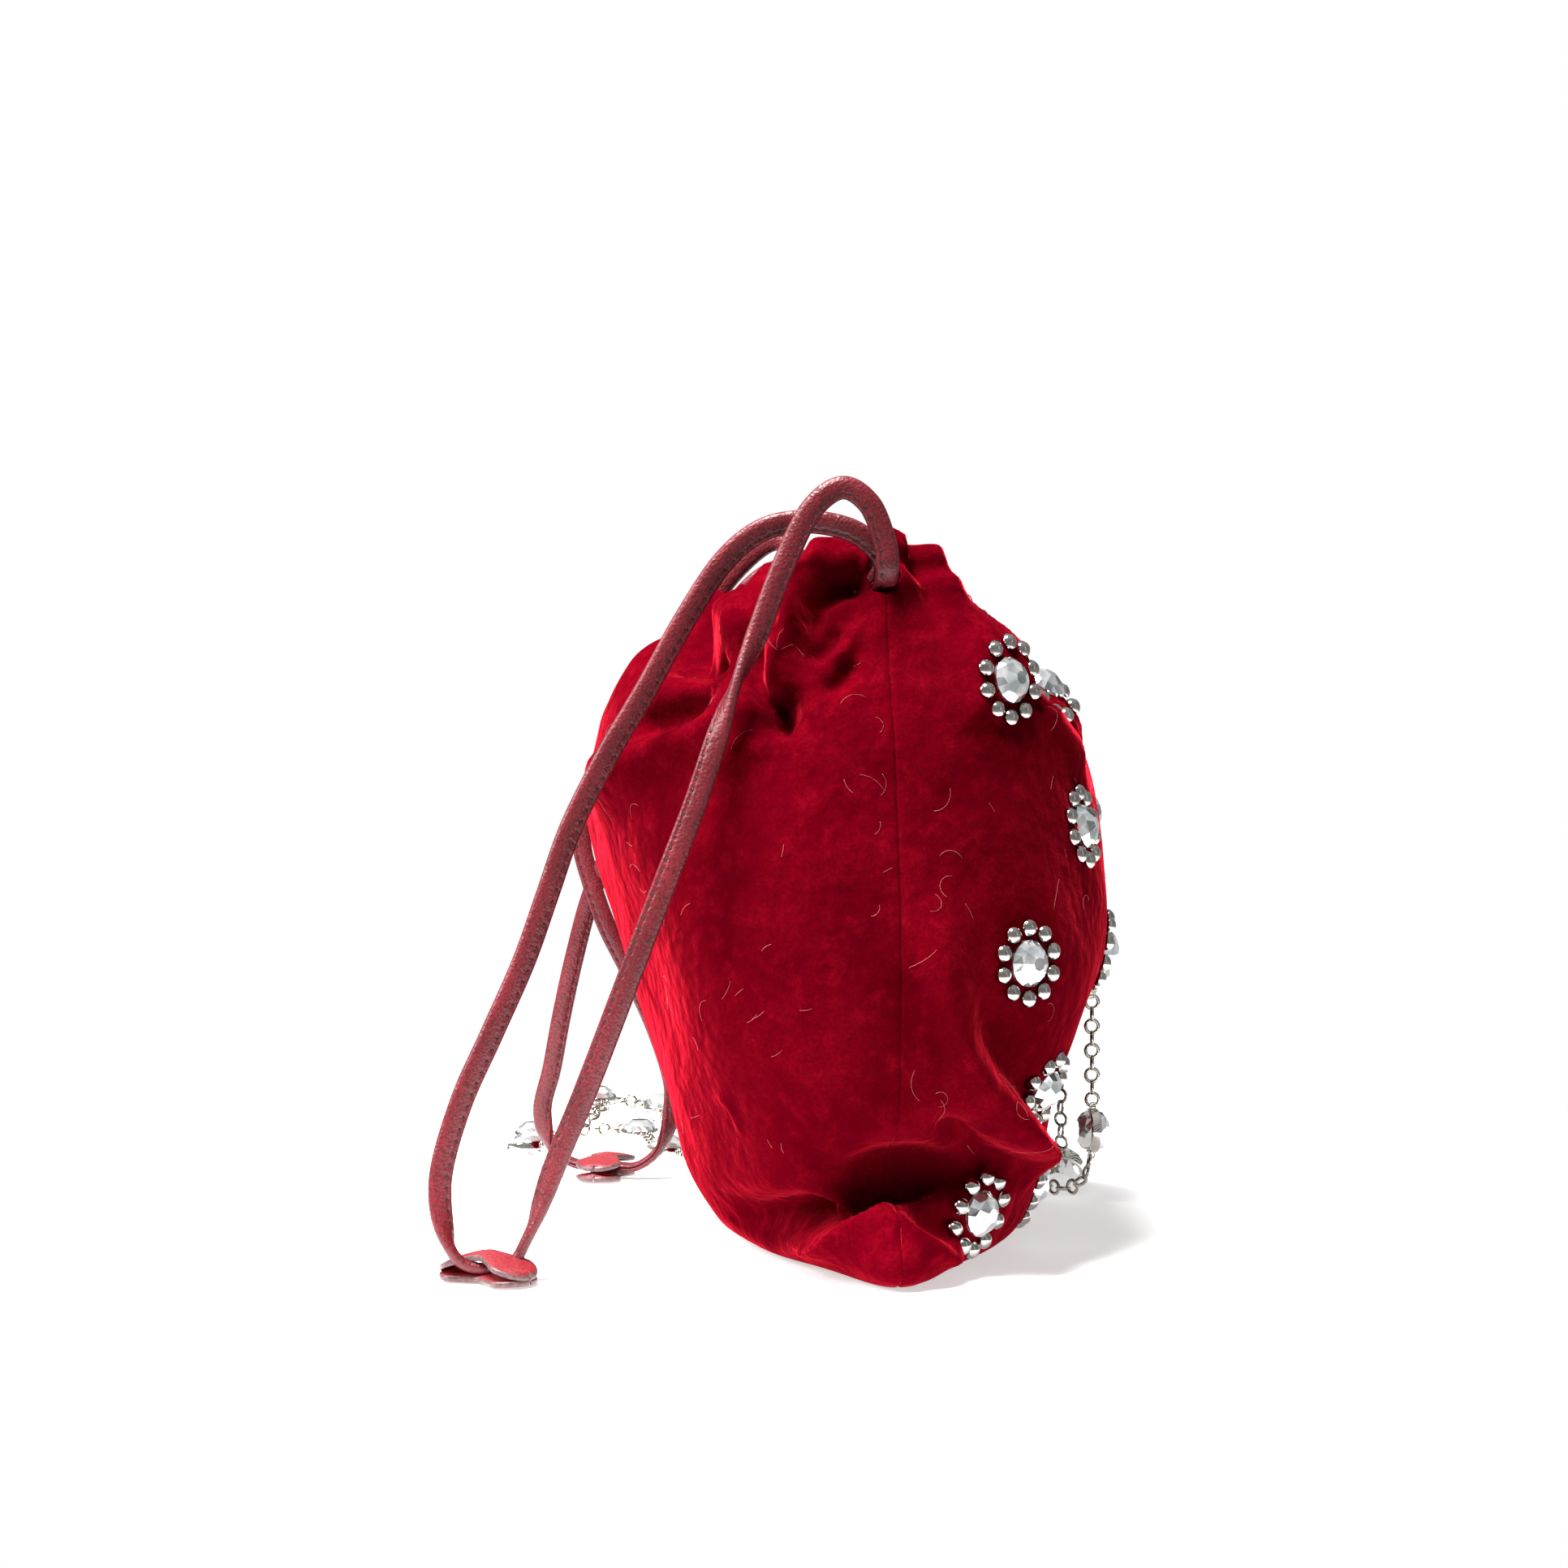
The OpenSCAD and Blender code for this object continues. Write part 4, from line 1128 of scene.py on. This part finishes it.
velvet_panel("velvet_front_panel", FRONT, "velvet_front")
velvet_panel("velvet_back_panel", BACK, "velvet_back")
hem = round_bag(FRONT.points[:1, 4:-4:2], BACK.points[:1, 4:-4:2])[0, :, :2]
stand_in(plate("velvet_floor", hem - unit(hem) * 0.0004, 0.0002, 0.0018, VELVET), "bag", "velvet",
         "velvet_base")


def inside(panel):
    """A function of depth: the surface that far inside the panel, smoother and never outside it."""
    lift = np.sum((panel.points - panel.plain) * panel.plain_normal, axis=-1)
    for axis, reach in ((0, 4), (1, 3)):
        grown = lift
        for k in range(1, reach + 1):
            for way in (k, -k):
                moved = np.roll(lift, way, axis=axis)
                edge = [slice(None)] * 2
                edge[axis] = slice(0, way) if way > 0 else slice(way, None)
                moved[tuple(edge)] = lift[tuple(edge)]
                grown = np.minimum(grown, moved)
        lift = grown
    for _ in range(6):
        lift[1:-1] = (lift[:-2] + 2 * lift[1:-1] + lift[2:]) / 4
        lift[:, 1:-1] = (lift[:, :-2] + 2 * lift[:, 1:-1] + lift[:, 2:]) / 4
    return lambda depth: panel.plain + panel.plain_normal * (lift - depth)[..., None]


FRONT_INSIDE, BACK_INSIDE = inside(FRONT), inside(BACK)
# The drawstring channel, as parts of the bag's height
CHANNEL_START, CHANNEL_END = 0.885, 0.985


def lining():
    """A satin bag inside the velvet, up to the drawstring channel, on its own floor."""
    floor_row, rim_row = np.searchsorted(FRONT.t[:, 0], [0.02, CHANNEL_START])
    rows = np.unique(np.concatenate([[floor_row], np.arange(6, rim_row, 3)]))
    outer, inner = (round_bag(FRONT_INSIDE(depth)[rows][:, 3:-3:3], BACK_INSIDE(depth)[rows][:, 3:-3:3])
                    for depth in (0.0034, 0.0042))
    outer[0, :, 2], inner[0, :, 2] = 0.0026, 0.0034
    s = np.concatenate([FRONT.s[rows][:, 3:-3:3], -BACK.s[rows][:, 3:-3:3][:, ::-1]], axis=1)
    uv = np.stack([s, outer[..., 2]], -1)
    rim = (outer[-1:] + inner[-1:]) / 2 + [0, 0, 0.0005]
    rings = np.concatenate([outer, rim, inner[::-1]])
    piece = make_piece("lining_bag", *swept(rings), LINING,
                       uv=np.concatenate([uv, uv[-1:], uv[::-1]]).reshape(-1, 2))
    stand_in(piece, "bag", "lining", "lining_front", "lining_back", "lining_base")


lining()


def channel(name, panel, surface, node):
    """The ribbed band that the drawstrings run behind, sewn down along both of its edges."""
    first, last = np.searchsorted(panel.t[:, 0], [CHANNEL_START, CHANNEL_END])
    cols = slice(14, -14)
    t = panel.t[first:last, 0]
    bow = np.zeros_like(panel.t)
    bow[first:last] = np.sin(np.pi * (panel.t[first:last] - t[0]) / (t[-1] - t[0])) ** 0.5
    depth = 0.0022 + 0.0046 * bow
    outer = surface(depth)[first:last, cols]
    inner = surface(depth + 0.0006)[first:last, cols]
    uv = np.stack([panel.s, panel.plain[..., 2]], -1)[first:last, cols]
    return stand_in(cloth_shell(name, outer, inner, TAPE, uv), "bag", "casing", node)


channel("channel_front", FRONT, FRONT_INSIDE, "casing_front")
channel("channel_back", BACK, BACK_INSIDE, "casing_back")


def held_drawstring(side, t):
    """The part of a drawstring that goes round inside the channel, at part t of the bag's height."""
    way = -1 if side == "near" else 1
    depth, radius = 0.0052, 0.0015
    front, back = FRONT_INSIDE(depth), BACK_INSIDE(depth)
    row = np.searchsorted(FRONT.t[:, 0], t)
    ring = np.concatenate([front[row, 8:-8:3], back[row, 8:-8:3][::-1]])
    if side == "far":
        half = len(ring) // 2
        ring = np.concatenate([ring[half:], ring[:half]])
    ends = [(way * 0.0706, 0, SLIT_Z - 0.0026), (way * 0.0706, 0, SLIT_Z + 0.0026)]
    line = smooth_line(np.vstack([ends[0], ring, ends[1]]), 0.002)
    rings = tube(line, radius, 10, (0, 0, 1))
    piece = make_piece(side + "_string_in_channel", *swept(rings), STRAP)
    stand_in(piece, "bag", "strap_leather", side + "_held_drawstring")


held_drawstring("near", 0.915)
held_drawstring("far", 0.96)


def slit_facing(side, way):
    """A small patch of tape behind the slits where a drawstring leaves the channel."""
    y = np.linspace(-0.007, 0.007, 9)[None, :]
    z = np.linspace(0.170, 0.1845, 7)[:, None]
    x = way * (0.0668 - 24 * y * y + 0 * z)
    grid = np.stack(np.broadcast_arrays(x, way * y, z), -1)
    inner = grid - [way * 0.0006, 0, 0]
    uv = np.stack(np.broadcast_arrays(y, z), -1)
    piece = cloth_shell(side + "_slit_facing", grid, inner, TAPE, uv)
    stand_in(piece, "bag", "casing")


slit_facing("near", -1)
slit_facing("far", 1)


# ---------- Flowers ----------
def stud_dome():
    """A domed stud whose edge is pressed into the cloth."""
    profile = [(STUD_R * 0.9, -0.0004), (STUD_R, 0.0003), (STUD_R * 0.93, 0.0009),
               (STUD_R * 0.7, 0.0016), (STUD_R * 0.36, 0.0021), (STUD_R * 0.05, 0.0023)]
    return swept(lathe(profile, 12))


def flowers():
    """A cut stone in each flower, and each row's rings of studs as one piece.

    A stud leans with its own spot of cloth and with its flower, and lies between the two.
    """
    lean, on_cloth = 0.8, 0.55
    stone = cut_stone(CRYSTAL_R, CRYSTAL_H)
    for r, (height, angles) in enumerate(FLOWER_ROWS, 1):
        places, away, along = [], [], []
        for c, degrees in enumerate(angles, 1):
            z = height * MM
            s = FRONT.place_of(degrees, z)
            middle, normal = FRONT.seat(s, z, CRYSTAL_R)
            axes = axes_from(normal, (0, 0, 1))
            spin = math.radians(11 * (r * 3 + c) % 45)
            turn = np.array([[math.cos(spin), -math.sin(spin), 0], [math.sin(spin), math.cos(spin), 0],
                             [0, 0, 1]])
            name = "flower_%d_%d" % (r, c)
            piece = make_piece(name + "_stone", *placed(stone, axes @ turn, middle), FLOWER_GLASS,
                               smooth=False)
            stand_in(piece, "bag", "flower_crystal", "flower_crystal_%d_%d" % (r, c))
            for k in range(STUDS):
                a = 2 * np.pi * (k + 0.5) / STUDS
                at, n = FRONT.seat(s + STUD_RING_R * math.cos(a), z + STUD_RING_R * math.sin(a), STUD_R)
                n = unit(n + lean * normal)
                flat = middle + STUD_RING_R * (math.cos(a) * axes[:, 1] * -1 + math.sin(a) * axes[:, 0])
                places.append(on_cloth * at + (1 - on_cloth) * flat)
                away.append(n)
                along.append((0, 0, 1))
        studs = copies("studs_%d" % r, stud_dome(), places, away, along, STUD, uneven=0.02)
        stand_in(studs, "bag", "stud_metal", "studs_row_%d" % r)


flowers()


# ---------- Metal fittings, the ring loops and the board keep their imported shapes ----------
FINISHES = {"ring_loop": STRAP, "d_ring": SILVER, "clasp": SILVER, "gate": SILVER, "swivel": SILVER}
packed = {side + "_" + part: finish for side in ("near", "far") for part, finish in FINISHES.items()}
packed["base_board"] = BOARD
for name, finish in packed.items():
    bpy.data.objects[name].data.materials.clear()
    bpy.data.objects[name].data.materials.append(finish)


# ---------- Lint ----------
def lint():
    """Stray fibres that lie curled on the velvet near the near seam."""
    fibres, radius, above = 90, 0.000035, 0.00018
    rng = np.random.default_rng(12)
    parts = []
    for k in range(fibres):
        panel = FRONT if k % 2 else BACK
        s, z = rng.uniform(0.004, 0.095), rng.uniform(0.03, 0.165)
        length, bend = rng.uniform(0.002, 0.009), rng.normal(0, 280)
        a = rng.uniform(0, 2 * np.pi)
        line = []
        for step in np.linspace(0, length, 12):
            line.append(panel.at(s, z) + above * panel.seat(s, z, 0.001)[1])
            a += bend * length / 11
            s, z = s + math.cos(a) * length / 11, z + math.sin(a) * length / 11
            s = max(s, 0.002)
        parts.append(swept(tube(np.array(line), radius, 3, (0.3, 0.2, 1.0))))
    piece = make_piece("lint", *combined(parts), LINT)
    stand_in(piece, "bag", "velvet")


lint()
